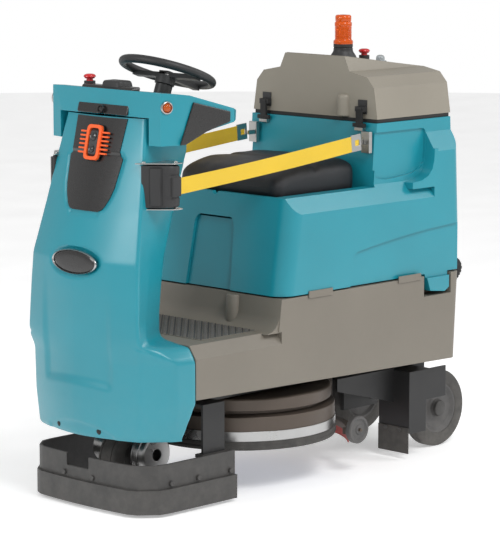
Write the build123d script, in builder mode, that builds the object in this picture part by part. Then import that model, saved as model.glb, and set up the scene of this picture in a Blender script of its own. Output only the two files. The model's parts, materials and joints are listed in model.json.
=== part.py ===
from build123d import *
import os
from math import cos, radians, sin

os.makedirs("parts", exist_ok=True)

# Ride-on floor scrubber, in millimetres. +X is the front, +Y the driver's left, +Z up.
# The origin is on the floor under the middle of the machine.

# ---------------------------------------------------------------- driving sizes
half_width = 310.0          # bodywork, centre line to side
nose_x = 778.0              # foremost point of the front shroud
tail_x = -620.0             # rear face of the tanks
flange_x = 572.0            # where the shroud ends and the platform starts
riser_x = 212.0             # front wall of the tanks
platform_z = 500.0          # where the driver's feet stand
seam_z = 598.0              # joint between the two tanks
seam_gap = 5.0
seat_shelf_z = 868.0
tower_top_z = 1092.0        # top of the upper tank behind the seat
tower_x = -246.0            # front of that tower
lid_gap = 12.0              # height of the rubber seal under the lid
lid_front_x = -258.0
lid_rear_x = -606.0
lid_half_width = 268.0
wall = 6.0                  # moulded plastic wall
fit_gap = 1.0               # between parts that sit against each other
run_gap = 0.06              # shaft in its hole, on the radius

wheel_radius = 126.0        # rear wheel
wheel_width = 52.0
wheel_x = -654.0
wheel_y = 168.0             # middle of the tyre
axle_radius = 10.0

drive_x = 535.0             # front drive wheel and its steering axis
drive_radius = 115.0
drive_width = 78.0
fork_shaft_radius = 17.0

deck_x = 80.0               # brush deck, raised for transport
deck_radius = 298.0
deck_lip_z = 149.0
deck_travel = 132.0
spindle_radius = 12.0

skirt_x = 750.0             # front bumper skirt
skirt_half_width = 270.0
skirt_rear_x = 362.0
skirt_top_z = 155.0
skirt_low_z = 10.0

steer_x = 394.0             # steering wheel hub
steer_z = 1249.0
steer_tilt = 20.0
column_radius = 26.0
steer_shaft_radius = 15.0
rim_radius = 137.0
rim_tube = 13.0

belt_height = 48.0
belt_thickness = 2.5
reel_x = 600.0              # upright axis of each belt reel
reel_y = 228.0
reel_z = 968.0
reel_radius = 32.0
hook_x = -206.0             # where the belts hook on beside the seat
hook_z = 1034.0

belly_front_z = 342.0       # underside of the lower tank
belly_rear_z = 318.0
frame_low_z = 296.0         # underside of the steel frame
frame_half_width = 180.0
frame_front_x = 690.0
frame_rear_x = -560.0
post_radius = 12.0          # deck guide posts
post_x = 290.0
post_y = 100.0
squeegee_travel = 92.0
squeegee_radius = 347.0     # about the deck's centre


def save(part, label):
    """Name a finished piece and write it."""
    part.label = label
    export_step(part, f"parts/{label}.step")


def mirrored(part):
    """The same piece on the driver's right."""
    return mirror(part, about=Plane.XZ, mode=Mode.PRIVATE)


def both_sides(part):
    """A piece and its twin on the other side, as separate solids of one node."""
    return Compound(part.solids() + mirrored(part).solids())


# ---------------------------------------------------------------- front shroud
# Each level: height, nose, corner x, corner y, rear x, rear y.
column_levels = [
    (440.0, nose_x, 706.0, 230.0, 566.0, 147.0),
    (600.0, nose_x, 706.0, 230.0, 560.0, 150.0),
    (745.0, nose_x - 4.0, 704.0, 228.0, 548.0, 154.0),
    (890.0, 730.0, 680.0, 206.0, 521.0, 168.0),
    (1060.0, 682.0, 644.0, 178.0, 480.0, 182.0),
    (1160.0, 652.0, 628.0, 164.0, 478.0, 182.0),
]
# Each level: height, nose, corner x, corner y, shoulder x, shoulder y, rear x, rear y.
apron_levels = [
    (224.0, nose_x - 10.0, 700.0, 222.0, 634.0, 286.0, 610.0, 293.0),
    (332.0, nose_x, 706.0, 232.0, 636.0, 298.0, flange_x, half_width),
    (platform_z, nose_x, 706.0, 232.0, 636.0, 298.0, flange_x, half_width),
]
badge_z = 740.0
badge_depth = 42.0


def column_solid(inset, drop):
    """The upright part of the shroud, made smaller all round by inset."""
    with BuildPart() as column:
        for z, front, corner_x, corner_y, rear_x, rear_y in column_levels:
            with BuildSketch(Plane.XY.offset(z - drop)) as level:
                with BuildLine():
                    near = (corner_x - inset, corner_y - inset)
                    back = (rear_x + inset, rear_y - inset)
                    Polyline(near, back, (back[0], -back[1]), (near[0], -near[1]))
                    ThreePointArc((near[0], -near[1]), (front - inset, 0), near)
                make_face()
                fillet(level.vertices().group_by(Axis.X)[-1], 34 - inset)
                fillet(level.vertices().group_by(Axis.X)[0], 26 - inset)
        loft()
    return column.part


def apron_solid(inset, rear_shift):
    """The wide foot of the shroud, which wraps round the front of the platform."""
    with BuildPart() as apron:
        for z, front, corner_x, corner_y, side_x, side_y, rear_x, rear_y in apron_levels:
            with BuildSketch(Plane.XY.offset(z)) as level:
                with BuildLine():
                    a = (corner_x - inset, corner_y - inset)
                    b = (side_x - inset, side_y - inset)
                    c = (rear_x - rear_shift, rear_y - inset)
                    Polyline(a, b, c, (c[0], -c[1]), (b[0], -b[1]), (a[0], -a[1]))
                    ThreePointArc((a[0], -a[1]), (front - inset, 0), a)
                make_face()
                corners = level.vertices().sort_by(Axis.X)
                fillet(corners[-2:], 34 - inset)
                fillet(corners[2:4], 30)
        loft(ruled=True)
    return apron.part


outer_column = column_solid(0, 0)
outer_apron = apron_solid(0, 0)
side_bevel = 28.0
side_bevel_drop = 38.0


def bevel_prism(front, rear):
    """Wedge that takes the top corner off the platform's left side."""
    with BuildPart() as wedge:
        with BuildSketch(Plane.YZ.offset(rear)):
            with BuildLine():
                Polyline(
                    (half_width - side_bevel, platform_z + 0.5),
                    (half_width + 30, platform_z + 0.5),
                    (half_width + 30, platform_z - side_bevel_drop),
                    (half_width, platform_z - side_bevel_drop),
                    close=True,
                )
            make_face()
        extrude(amount=front - rear)
    return wedge.part


steer_plane = Plane(
    origin=(steer_x, 0, steer_z),
    x_dir=(cos(radians(steer_tilt)), 0, sin(radians(steer_tilt))),
    z_dir=(-sin(radians(steer_tilt)), 0, cos(radians(steer_tilt))),
)
inner_column = column_solid(wall, wall)
inner_apron = apron_solid(wall, 3 * wall)

with BuildPart() as front_shroud:
    add(outer_apron)
    shoulder_edges = [
        e
        for e in front_shroud.edges().filter_by_position(Axis.Z, platform_z - 1, platform_z + 1)
        if abs(e.center().Y) > 232 and e.center().X < 705
    ]
    chamfer(shoulder_edges, length=side_bevel_drop, length2=side_bevel)
    add(outer_column)
    add(inner_column, mode=Mode.SUBTRACT)
    with Locations((0, 0, -side_bevel_drop)):
        add(inner_apron, mode=Mode.SUBTRACT)
    with BuildSketch(Plane.YZ.offset(nose_x + 20)):
        with Locations((0, badge_z)):
            Ellipse(104, 41)
    extrude(amount=-badge_depth, mode=Mode.SUBTRACT)
    with BuildSketch(Plane.YZ.offset(nose_x + 20)):
        for y in (-85, 85):
            with Locations((y, 245)):
                Circle(5)
    extrude(amount=-60, mode=Mode.SUBTRACT)
    with BuildSketch(steer_plane.offset(-340)):
        Circle(column_radius + fit_gap)
    extrude(amount=300, mode=Mode.SUBTRACT)
save(front_shroud.part, "front_shroud")


# ---------------------------------------------------------------- badge, left blank
badge_plane = Plane.YZ.offset(nose_x + 20 - badge_depth + 0.5)
with BuildPart() as badge_rim:
    with BuildSketch(badge_plane):
        with Locations((0, badge_z)):
            Ellipse(98, 36)
            Ellipse(92, 31, mode=Mode.SUBTRACT)
    extrude(amount=20)
with BuildPart() as badge_plate:
    with BuildSketch(badge_plane):
        with Locations((0, badge_z)):
            Ellipse(91.5, 30.5)
    extrude(amount=14)
save(Compound([badge_rim.part.solid(), badge_plate.part.solid()]), "blank_badge")

# ---------------------------------------------------------------- driver console
hood_tip_x = 331.0
hood_side_y = 256.0
hood_floor_z = 1084.0
hood_top_z = 1240.0
mask_top_z = column_levels[-1][0]
collar_gap = 4.0

with BuildPart() as console_hood:
    with BuildSketch(Plane.XZ):
        with BuildLine():
            Polyline((660, hood_floor_z), (645, 1162), (620, hood_top_z), (540, 1228),
                     (hood_tip_x, 1172), (338, 1142), (400, 1132), (470, 1120),
                     (560, hood_floor_z), close=True)
        make_face()
    extrude(amount=half_width, both=True)
    with BuildSketch(Plane.XY.offset(hood_floor_z - 10)):
        with BuildLine():
            Polyline((660, 0), (648, 165), (606, 228), (566, hood_side_y), (360, hood_side_y),
                     (hood_tip_x, 236), (345, 200), (430, 150), (430, 0))
            mirror(about=Plane.XZ)
        make_face()
    extrude(amount=200, mode=Mode.INTERSECT)
    with Locations((560, 0, mask_top_z / 2 + collar_gap / 2)):
        Box(320, 2 * 188, mask_top_z + collar_gap, mode=Mode.SUBTRACT)
    with Locations((520, 0, 1180)):
        Box(120, 200, 60, mode=Mode.SUBTRACT)
    with BuildSketch(steer_plane.offset(-200)):
        Circle(column_radius + fit_gap)
    extrude(amount=300, mode=Mode.SUBTRACT)
save(console_hood.part, "console_hood")

panel_outline = [(0, 1158), (106, 1158), (100, 1065), (112, 1040), (98, 940), (70, 892), (0, 888)]
with BuildPart() as sensor_panel:
    with BuildSketch(Plane.YZ.offset(500)):
        with BuildLine():
            Polyline(*panel_outline)
            mirror(about=Plane.YZ)
        make_face()
    extrude(amount=300)
    with Locations((3, 0, 0)):
        add(outer_column, mode=Mode.INTERSECT)
    add(outer_column, mode=Mode.SUBTRACT)

with BuildPart() as brow_panel:
    with BuildSketch(Plane.XZ):
        with BuildLine():
            Polyline((646, 1166), (655, 1166), (630, 1246), (616, 1245), (616, 1236), (621, 1241),
                     close=True)
        make_face()
    extrude(amount=108, both=True)
    add(console_hood.part, mode=Mode.SUBTRACT)
save(Compound([sensor_panel.part.solid(), brow_panel.part.solid()]), "sensor_panel")

ring_z = 1083.0
ring_x = 668.0
lean = Plane(origin=(ring_x + 10, 0, ring_z), x_dir=(0, 1, 0), z_dir=(0.96, 0, 0.28))
with BuildPart() as sensor_ring:
    with BuildSketch(lean):
        RectangleRounded(50, 92, 8)
        RectangleRounded(38, 78, 6, mode=Mode.SUBTRACT)
        for side in (-1, 1):
            for step in range(6):
                with Locations((side * 42, 30 - 13 * step)):
                    Rectangle(34.2, 5)
    extrude(amount=10)
    add(outer_column, mode=Mode.SUBTRACT)
    add(sensor_panel.part, mode=Mode.SUBTRACT)
save(sensor_ring.part, "sensor_ring")
with BuildPart() as sensor_glass:
    with BuildSketch(lean):
        RectangleRounded(37.4, 77.4, 6)
    extrude(amount=9)
    add(outer_column, mode=Mode.SUBTRACT)
    add(sensor_panel.part, mode=Mode.SUBTRACT)
save(sensor_glass.part, "sensor_glass")
with BuildPart() as front_lens:
    with BuildSketch(Plane(origin=(652, 0, 1180), x_dir=(0, 1, 0), z_dir=(0.955, 0, 0.296))):
        Circle(13)
    extrude(amount=9)
with BuildPart() as camera_hump:
    with Locations((584, 12, 1252)):
        Box(60, 84, 20)
    fillet(camera_hump.edges().group_by(Axis.Z)[-1], 8)
save(Compound([front_lens.part.solid(), camera_hump.part.solid()]), "camera_housing")

pod_y = hood_side_y + 0.3
with BuildPart() as left_pod:
    with BuildSketch(Plane.XZ.offset(-pod_y)):
        with BuildLine():
            Polyline((531, 1208), (380, 1172), (380, 1141), (430, 1130), (478, 1118),
                     (562, hood_floor_z + 2), (585, hood_floor_z + 2), close=True)
        make_face()
    extrude(amount=-6)
save(both_sides(left_pod.part), "side_pods")

with BuildPart() as left_lamp:
    with BuildSketch(Plane(origin=(592, 244, 1196), z_dir=(0.55, 0.83, 0))):
        Circle(11)
    extrude(amount=7)
save(both_sides(left_lamp.part), "side_lamps")

# ---------------------------------------------------------------- emergency stops and lamps on top
stop_stem = 10.0


def stop_base(x, y, z, below):
    """Round collar of an emergency stop, let into what it stands on."""
    with BuildPart() as base:
        with Locations((x, y, z - 8)):
            Cylinder(17, 20, align=(Align.CENTER, Align.CENTER, Align.MIN))
            Cylinder(stop_stem + run_gap, 20, align=(Align.CENTER, Align.CENTER, Align.MIN),
                     mode=Mode.SUBTRACT)
        add(below, mode=Mode.SUBTRACT)
    return base.part


def stop_button(x, y, z):
    """Mushroom head with its stem; it stands 7 mm clear of the collar."""
    with BuildPart() as button:
        with Locations((x, y, z + 6.2)):
            Cylinder(stop_stem, 14, align=(Align.CENTER, Align.CENTER, Align.MIN))
        with Locations((x, y, z + 19)):
            Cone(15, 19, 14, align=(Align.CENTER, Align.CENTER, Align.MIN))
        fillet(button.edges().group_by(Axis.Z)[-1], 4)
    return button.part


front_stop_at = (588.0, -122.0, 1240.5)
save(stop_base(*front_stop_at, console_hood.part), "front_stop_base")
save(stop_button(*front_stop_at), "front_stop_button")

# ---------------------------------------------------------------- steering wheel
with BuildPart() as steering_rim:
    with Locations(steer_plane.offset(26)):
        Torus(rim_radius, rim_tube)
save(steering_rim.part, "steering_rim")
with BuildPart() as steering_wheel:
    with Locations(steer_plane):
        Cylinder(30, 26)
    for angle in (0, 90, 180):
        with BuildSketch(steer_plane.offset(8)):
            with Locations(Rot(0, 0, angle)):
                with Locations((0, (rim_radius - 6) / 2 + 12)):
                    Rectangle(26, rim_radius - 24)
        extrude(amount=14)
    with Locations(steer_plane.offset(-60)):
        Cylinder(steer_shaft_radius, 100)
    add(steering_rim.part, mode=Mode.SUBTRACT)
with BuildPart() as wheel_cap:
    with BuildSketch(steer_plane.offset(22.2)):
        RectangleRounded(34, 44, 6)
    extrude(amount=4)
save(Compound([steering_wheel.part.solid(), wheel_cap.part.solid()]), "steering_wheel")
with BuildPart() as steering_column:
    with BuildSketch(steer_plane.offset(-250)):
        Circle(column_radius)
        Circle(steer_shaft_radius + run_gap, mode=Mode.SUBTRACT)
    extrude(amount=236)
save(steering_column.part, "steering_column")

# ---------------------------------------------------------------- lower tank and platform
notch_front_x = -438.0
notch_rear_x = -568.0
notch_floor_z = 532.0
battery_floor_z = 410.0

with BuildPart() as base_tank:
    with BuildSketch(Plane.XZ):
        with BuildLine():
            Polyline((flange_x, belly_front_z), (flange_x, platform_z), (riser_x + 12, platform_z),
                     (riser_x, seam_z), (tail_x, seam_z), (tail_x + 16, belly_rear_z), close=True)
        make_face()
    extrude(amount=half_width, both=True)
    fillet(base_tank.edges().filter_by(Axis.Z, tolerance=6).sort_by(Axis.X)[:2], 34)
    for wedge in (bevel_prism(flange_x + 1, riser_x), mirrored(bevel_prism(flange_x + 1, riser_x))):
        add(wedge, mode=Mode.SUBTRACT)
    with Locations((-180, 0, battery_floor_z)):
        Box(640, 440, 400, align=(Align.CENTER, Align.CENTER, Align.MIN), mode=Mode.SUBTRACT)
    with Locations((drive_x, 0, frame_low_z)):
        Box(230, 300, 185, align=(Align.CENTER, Align.CENTER, Align.MIN), mode=Mode.SUBTRACT)
    for y in (-post_y, post_y):
        with Locations((post_x, y, frame_low_z)):
            Cylinder(post_radius + 8, deck_travel + 54, align=(Align.CENTER, Align.CENTER, Align.MIN),
                     mode=Mode.SUBTRACT)
    with Locations((flange_x, 0, 466)):
        Box(20, 2 * 168, 80, mode=Mode.SUBTRACT)
    for y in (-60, 60):
        with Locations((deck_x - squeegee_radius, y, frame_low_z)):
            Cylinder(18, squeegee_travel + 14, align=(Align.CENTER, Align.CENTER, Align.MIN),
                     mode=Mode.SUBTRACT)
    for side in (-1, 1):
        with Locations(((notch_front_x + notch_rear_x) / 2, side * (half_width - 30), notch_floor_z)):
            Box(notch_front_x - notch_rear_x, 62, 100,
                align=(Align.CENTER, Align.CENTER, Align.MIN), mode=Mode.SUBTRACT)
save(base_tank.part, "base_tank")

with BuildPart() as platform_tread:
    with BuildSketch(Plane.XY.offset(platform_z + 0.2)):
        with Locations((367, 0)):
            RectangleRounded(240, 500, 20)
            with GridLocations(70, 70, 3, 7):
                Circle(9, mode=Mode.SUBTRACT)
            with GridLocations(70, 70, 2, 6):
                Circle(9, mode=Mode.SUBTRACT)
    extrude(amount=2.5)
save(platform_tread.part, "platform_tread")

with BuildPart() as battery_pack:
    for x in (-330, -30):
        for y in (-103, 103):
            with Locations((x, y, battery_floor_z + 0.5)):
                Box(280, 190, 176, align=(Align.CENTER, Align.CENTER, Align.MIN))
save(battery_pack.part, "battery_pack")

pedal_at = (505.0, -90.0, platform_z + 14.0)
with BuildPart() as pedal_bracket:
    for y in (-34, 34):
        with Locations((pedal_at[0], pedal_at[1] + y, platform_z + 3)):
            Box(16, 5, 20, align=(Align.CENTER, Align.CENTER, Align.MIN))
    with BuildSketch(Plane.XZ.offset(-pedal_at[1] + 40)):
        with Locations((pedal_at[0], pedal_at[2])):
            Circle(4)
    extrude(amount=-80)
save(pedal_bracket.part, "pedal_bracket")
with BuildPart() as drive_pedal:
    with BuildSketch(Plane.XZ.offset(-pedal_at[1])):
        with Locations((pedal_at[0], pedal_at[2])):
            Circle(7.5)
        with BuildLine():
            Polyline((pedal_at[0] - 4, 516), (pedal_at[0] - 92, 546), (pedal_at[0] - 90, 551),
                     (pedal_at[0], 521), close=True)
        make_face()
        with Locations((pedal_at[0], pedal_at[2])):
            Circle(4 + run_gap, mode=Mode.SUBTRACT)
    extrude(amount=30, both=True)
save(drive_pedal.part, "drive_pedal")

# ---------------------------------------------------------------- upper tank
tank_floor_z = seam_z + seam_gap
shelf_rim_z = 895.0
upper_half_width = 270.0
seat_rear_x = tower_x + 9
seat_front_x = 150.0
seat_half_width = 226.0

with BuildPart() as recovery_tank:
    with BuildSketch(Plane.XZ):
        with BuildLine():
            Polyline((riser_x, tank_floor_z), (168, shelf_rim_z), (tower_x + 6, shelf_rim_z),
                     (tower_x - 8, tower_top_z), (tail_x + 16, tower_top_z), (tail_x, 745),
                     (tail_x, tank_floor_z), close=True)
        make_face()
    extrude(amount=half_width, both=True)
    front_posts = recovery_tank.edges().filter_by(
        lambda e: e.center().X > 180 and abs(e.center().Y) > half_width - 10 and e.length > 200
    )
    fillet(front_posts, 56)
    rear_posts = recovery_tank.edges().filter_by(
        lambda e: e.center().X < tail_x + 20 and abs(e.center().Y) > half_width - 10 and e.length > 100
    )
    fillet(rear_posts, 34)
    for side in (-1, 1):
        with BuildSketch(Plane.YZ.offset(-484)):
            with BuildLine():
                Polyline((side * (half_width + 1), 846), (side * upper_half_width, shelf_rim_z + 8),
                         (side * upper_half_width, tower_top_z + 1),
                         (side * (half_width + 1), tower_top_z + 1), close=True)
            make_face()
        extrude(amount=720, mode=Mode.SUBTRACT)
        with BuildSketch(Plane.YZ.offset(-700)):
            with BuildLine():
                Polyline((side * (half_width + 1), 990), (side * upper_half_width, 1050),
                         (side * upper_half_width, tower_top_z + 1),
                         (side * (half_width + 1), tower_top_z + 1), close=True)
            make_face()
        extrude(amount=240, mode=Mode.SUBTRACT)
    with Locations(((seat_front_x + seat_rear_x) / 2, 0, seat_shelf_z)):
        Box(seat_front_x - seat_rear_x + 8, 2 * seat_half_width + 8, 200,
            align=(Align.CENTER, Align.CENTER, Align.MIN), mode=Mode.SUBTRACT)
    with Locations((-432, 0, 640)):
        Box(310, 490, 600, align=(Align.CENTER, Align.CENTER, Align.MIN), mode=Mode.SUBTRACT)
    with Locations((-30, 0, tank_floor_z)):
        Box(400, 540, 235, align=(Align.CENTER, Align.CENTER, Align.MIN), mode=Mode.SUBTRACT)
save(recovery_tank.part, "recovery_tank")

with BuildPart() as seam_clips:
    for x in (-366, 44):
        for side in (-1, 1):
            with Locations((x, side * (half_width + 2.4), seam_z + 2)):
                Box(106, 4, 22)
save(seam_clips.part, "seam_clips")

with BuildPart() as seat_pad:
    with Locations(((seat_front_x + seat_rear_x) / 2, 0, seat_shelf_z + 0.4)):
        Box(seat_front_x - seat_rear_x, 2 * seat_half_width, 116,
            align=(Align.CENTER, Align.CENTER, Align.MIN))
    fillet(seat_pad.edges().group_by(Axis.Z)[-1], 26)
save(seat_pad.part, "seat_pad")

# ---------------------------------------------------------------- lid over the upper tank
lid_low_z = tower_top_z + lid_gap
lid_hinge_x = tail_x - 2
lid_hinge_z = lid_low_z + 6


def lid_outline(half, top, drop):
    """Half profile of the lid: skirt, shoulder and raised ridge."""
    return [(0, lid_low_z - drop), (half, lid_low_z - drop), (half - 15, 1200), (half - 45, 1233),
            (half - 118, 1247), (half - 140, top), (0, top)]


def lid_solid(half, top, front, rear, drop):
    """Solid of the lid between two stations, before its top is sloped."""
    with BuildPart() as block:
        with BuildSketch(Plane.YZ.offset(rear)):
            with BuildLine():
                Polyline(*lid_outline(half, top, drop))
                mirror(about=Plane.YZ)
            make_face()
        extrude(amount=front - rear)
    return block.part


lid_inside = lid_solid(lid_half_width - wall - 2, 1285, lid_front_x - wall - 2, lid_rear_x + wall + 2, 1)
with BuildPart() as recovery_lid:
    add(lid_solid(lid_half_width, 1293, lid_front_x, lid_rear_x, 0))
    with BuildSketch(Plane.XZ):
        with BuildLine():
            Polyline((lid_front_x + 1, 1293), (lid_rear_x - 1, 1246), (lid_rear_x - 1, 1400),
                     (lid_front_x + 1, 1400), close=True)
        make_face()
    extrude(amount=half_width, both=True, mode=Mode.SUBTRACT)
    add(lid_inside, mode=Mode.SUBTRACT)
    with BuildSketch(Plane.XZ):
        with BuildLine():
            Polyline((lid_front_x - wall, 1284), (lid_rear_x + wall, 1237), (lid_rear_x + wall, 1247),
                     (lid_front_x - wall, 1294), close=True)
        make_face()
    extrude(amount=lid_half_width - 141, both=True)
    for y in (-150, 150):
        with Locations((lid_rear_x - 2, y, lid_hinge_z + 18)):
            Box(16, 60, 24)
        with BuildSketch(Plane.XZ.offset(-y)):
            with Locations((lid_hinge_x - 6, lid_hinge_z)):
                Circle(11)
            with BuildLine():
                Polyline((lid_hinge_x - 14, lid_hinge_z + 6), (lid_rear_x - 4, lid_hinge_z + 30),
                         (lid_rear_x - 4, lid_hinge_z + 8), (lid_hinge_x - 2, lid_hinge_z), close=True)
            make_face()
        extrude(amount=20, both=True)
        with Locations(Plane.XZ.offset(-y) * Location((lid_hinge_x - 6, lid_hinge_z, 0))):
            Cylinder(6 + run_gap, 80, mode=Mode.SUBTRACT)
save(recovery_lid.part, "recovery_lid")

with BuildPart() as lid_hinges:
    for y in (-150, 150):
        with Locations(Plane.XZ.offset(-y) * Location((lid_hinge_x - 6, lid_hinge_z, 0))):
            Cylinder(6, 72)
        for side in (-1, 1):
            with Locations((lid_hinge_x - 4, y + side * 29, lid_hinge_z - 12)):
                Box(14, 12, 44)
            with Locations((tail_x + 4, y + side * 29, lid_hinge_z - 25)):
                Box(22, 12, 18)
    add(recovery_tank.part, mode=Mode.SUBTRACT)
save(lid_hinges.part, "lid_hinges")

with BuildPart() as lid_seal:
    with BuildSketch(Plane.XY.offset(tower_top_z + 0.4)):
        with Locations(((lid_front_x + lid_rear_x) / 2, 0)):
            RectangleRounded(lid_front_x - lid_rear_x - 2, 2 * lid_half_width - 4, 8)
            RectangleRounded(lid_front_x - lid_rear_x - 22, 2 * lid_half_width - 24, 4,
                             mode=Mode.SUBTRACT)
    extrude(amount=lid_gap - 0.4)
save(lid_seal.part, "lid_seal")

latch_y = 207.0
latch_x = lid_front_x + 14
latch_z = 1134.0
latch_pin = 3.5


def latch_mount(y):
    """Two ears and a pin on the front of the lid."""
    with BuildPart() as mount:
        with Locations((lid_front_x + 1.6, y, latch_z + 6)):
            Box(3, 36, 44)
        for side in (-1, 1):
            with Locations((latch_x - 4, y + side * 15.5, latch_z)):
                Box(16, 5, 16)
        with Locations(Plane.XZ.offset(-y) * Location((latch_x, latch_z, 0))):
            Cylinder(latch_pin, 36)
    return mount.part


def latch(y):
    """T-shaped rubber latch that hangs on the pin and hooks over its keeper."""
    with BuildPart() as arm:
        with BuildSketch(Plane.XZ.offset(-y)):
            with Locations((latch_x, latch_z)):
                Circle(8)
            with Locations((latch_x + 2.5, latch_z - 24)):
                Rectangle(9, 44)
            with Locations((latch_x, latch_z)):
                Circle(latch_pin + run_gap, mode=Mode.SUBTRACT)
        extrude(amount=12, both=True)
        with Locations((latch_x + 2.5, y, latch_z - 50)):
            Box(9, 50, 12)
    return arm.part


save(both_sides(latch_mount(latch_y)), "latch_mounts")
save(latch(latch_y), "lid_latch_left")
save(latch(-latch_y), "lid_latch_right")
with BuildPart() as latch_keepers:
    for y in (-latch_y, latch_y):
        with Locations((tower_x + 1, y, latch_z - 62)):
            Box(16, 34, 10)
    add(recovery_tank.part, mode=Mode.SUBTRACT)

# ---------------------------------------------------------------- warning lights
beacon_x = -391.0


def ridge_z(x):
    """Height of the lid's ridge at a station."""
    return 1246 + (x - lid_rear_x) / (lid_front_x - lid_rear_x) * 47


beacon_low_z = ridge_z(beacon_x) - 3
with BuildPart() as beacon_base:
    with BuildSketch(Plane.XZ):
        with BuildLine():
            Polyline((0, beacon_low_z), (44, beacon_low_z), (42, beacon_low_z + 14),
                     (31, beacon_low_z + 30), (29, beacon_low_z + 48), (0, beacon_low_z + 48),
                     close=True)
        make_face()
    revolve(axis=Axis.Z)
with BuildPart() as beacon_lens:
    with BuildSketch(Plane.XZ):
        with BuildLine():
            Polyline((0, beacon_low_z + 48.2), (31, beacon_low_z + 48.2), (31, beacon_low_z + 60),
                     (27, beacon_low_z + 62), (26, beacon_low_z + 124), (20, beacon_low_z + 138),
                     (0, beacon_low_z + 142), close=True)
        make_face()
    revolve(axis=Axis.Z)
rear_stop_at = (-492.0, 0.0, ridge_z(-492) + 6)
save(stop_base(*rear_stop_at, recovery_lid.part), "rear_stop_base")
save(stop_button(*rear_stop_at), "rear_stop_button")
beacon_base_pieces = Pos(beacon_x, 0, 0) * beacon_base.part - recovery_lid.part
save(Part(beacon_base_pieces.solids().sort_by(Axis.Z)[-1].wrapped), "beacon_base")
save(Pos(beacon_x, 0, 0) * beacon_lens.part, "beacon_lens")
with BuildPart() as status_dome:
    with Locations((-570, 0, ridge_z(-570) + 1)):
        Cylinder(20, 6, align=(Align.CENTER, Align.CENTER, Align.MIN))
        Cylinder(14, 24, align=(Align.CENTER, Align.CENTER, Align.MIN))
    fillet(status_dome.edges().group_by(Axis.Z)[-1], 10)
    add(recovery_lid.part, mode=Mode.SUBTRACT)
save(status_dome.part, "status_dome")

# ---------------------------------------------------------------- belts round the driver
belt_gap = 0.75
belt_y = reel_y + reel_radius + belt_gap + belt_thickness / 2
hook_y = belt_y - 14.0
belt_span = Vector(hook_x + 46 - reel_x, hook_y - belt_y, hook_z - reel_z)
belt_plane = Plane(
    origin=(reel_x, belt_y, reel_z),
    x_dir=belt_span,
    z_dir=belt_span.cross(Vector(0, 0, 1)).cross(belt_span) * -1,
)

with BuildPart() as reel_can:
    with Locations((reel_x, reel_y, reel_z)):
        Cylinder(reel_radius, 124)
    fillet(reel_can.edges().group_by(Axis.Z)[-1] + reel_can.edges().group_by(Axis.Z)[0], 6)
save(both_sides(reel_can.part), "belt_reels")

with BuildPart() as reel_brackets:
    for z in (reel_z - 66, reel_z + 66):
        with Locations((reel_x + 4, (reel_y + 150) / 2 - 6, z)):
            Box(52, reel_y - 150 + 12, 7)
    add(outer_column, mode=Mode.SUBTRACT)
save(both_sides(reel_brackets.part), "reel_brackets")

with BuildPart() as belt_web:
    with BuildSketch(belt_plane):
        with Locations((belt_span.length / 2, 0)):
            Rectangle(belt_span.length, belt_thickness)
    extrude(amount=belt_height / 2, both=True)
save(belt_web.part, "belt_web_left")
save(mirrored(belt_web.part), "belt_web_right")
with BuildPart() as belt_tongue:
    with BuildSketch(belt_plane):
        with Locations((belt_span.length + 22, 0)):
            Rectangle(44, 5)
    extrude(amount=belt_height / 2 + 2, both=True)
    with BuildSketch(belt_plane):
        with Locations((belt_span.length + 26, 0)):
            Rectangle(20, 30)
    extrude(amount=9, both=True, mode=Mode.SUBTRACT)
save(belt_tongue.part, "belt_tongue_left")
save(mirrored(belt_tongue.part), "belt_tongue_right")
with BuildPart() as belt_hook:
    with Locations((tower_x + 11, hook_y - 4, hook_z)):
        Box(14, 34, 66)
    with Locations((hook_x - 6, hook_y - 14, hook_z)):
        Box(30, 7, 14)
    add(recovery_tank.part, mode=Mode.SUBTRACT)
save(Compound(both_sides(belt_hook.part).solids() + latch_keepers.part.solids()), "keeper_plates")

# ---------------------------------------------------------------- frame
with BuildPart() as chassis_frame:
    with BuildSketch(Plane.XZ):
        with BuildLine():
            slope = (belly_front_z - belly_rear_z) / (flange_x - tail_x - 16)
            Polyline((frame_rear_x, frame_low_z), (frame_front_x, frame_low_z),
                     (frame_front_x, belly_front_z - 1), (flange_x, belly_front_z - 0.5),
                     (frame_rear_x, belly_front_z - 0.5 - slope * (flange_x - frame_rear_x)), close=True)
        make_face()
    extrude(amount=frame_half_width, both=True)
    for side in (-1, 1):
        with Locations((-590, side * 110, wheel_radius - 30)):
            Box(150, 16, frame_low_z - wheel_radius + 40,
                align=(Align.CENTER, Align.CENTER, Align.MIN))
        with Locations((wheel_x + 30, side * 110, wheel_radius)):
            Box(110, 16, 60)
    with Locations(Plane.XZ * Location((wheel_x, wheel_radius, 0))):
        Cylinder(axle_radius + 0.02, 300, mode=Mode.SUBTRACT)
    with Locations((drive_x, 0, 300)):
        Cylinder(fork_shaft_radius + run_gap, 120, mode=Mode.SUBTRACT)
    for y in (-post_y, post_y):
        with Locations((post_x, y, 300)):
            Cylinder(post_radius + run_gap, 120, mode=Mode.SUBTRACT)
    for y in (-60, 60):
        with Locations((deck_x - squeegee_radius, y, 300)):
            Cylinder(10 + run_gap, 120, mode=Mode.SUBTRACT)
    for side in (-1, 1):
        with Locations((430, side * (skirt_half_width - 35), skirt_top_z)):
            Box(90, 8, frame_low_z - skirt_top_z, align=(Align.CENTER, Align.CENTER, Align.MIN))
        with Locations((430, side * (skirt_half_width - 65), frame_low_z + 4)):
            Box(90, 68, 8)
save(chassis_frame.part, "chassis_frame")

# ---------------------------------------------------------------- rear wheels
with BuildPart() as rear_axle:
    with Locations(Plane.XZ * Location((wheel_x, wheel_radius, 0))):
        Cylinder(axle_radius, 2 * (wheel_y + wheel_width / 2 + 4))
save(rear_axle.part, "rear_axle")


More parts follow.
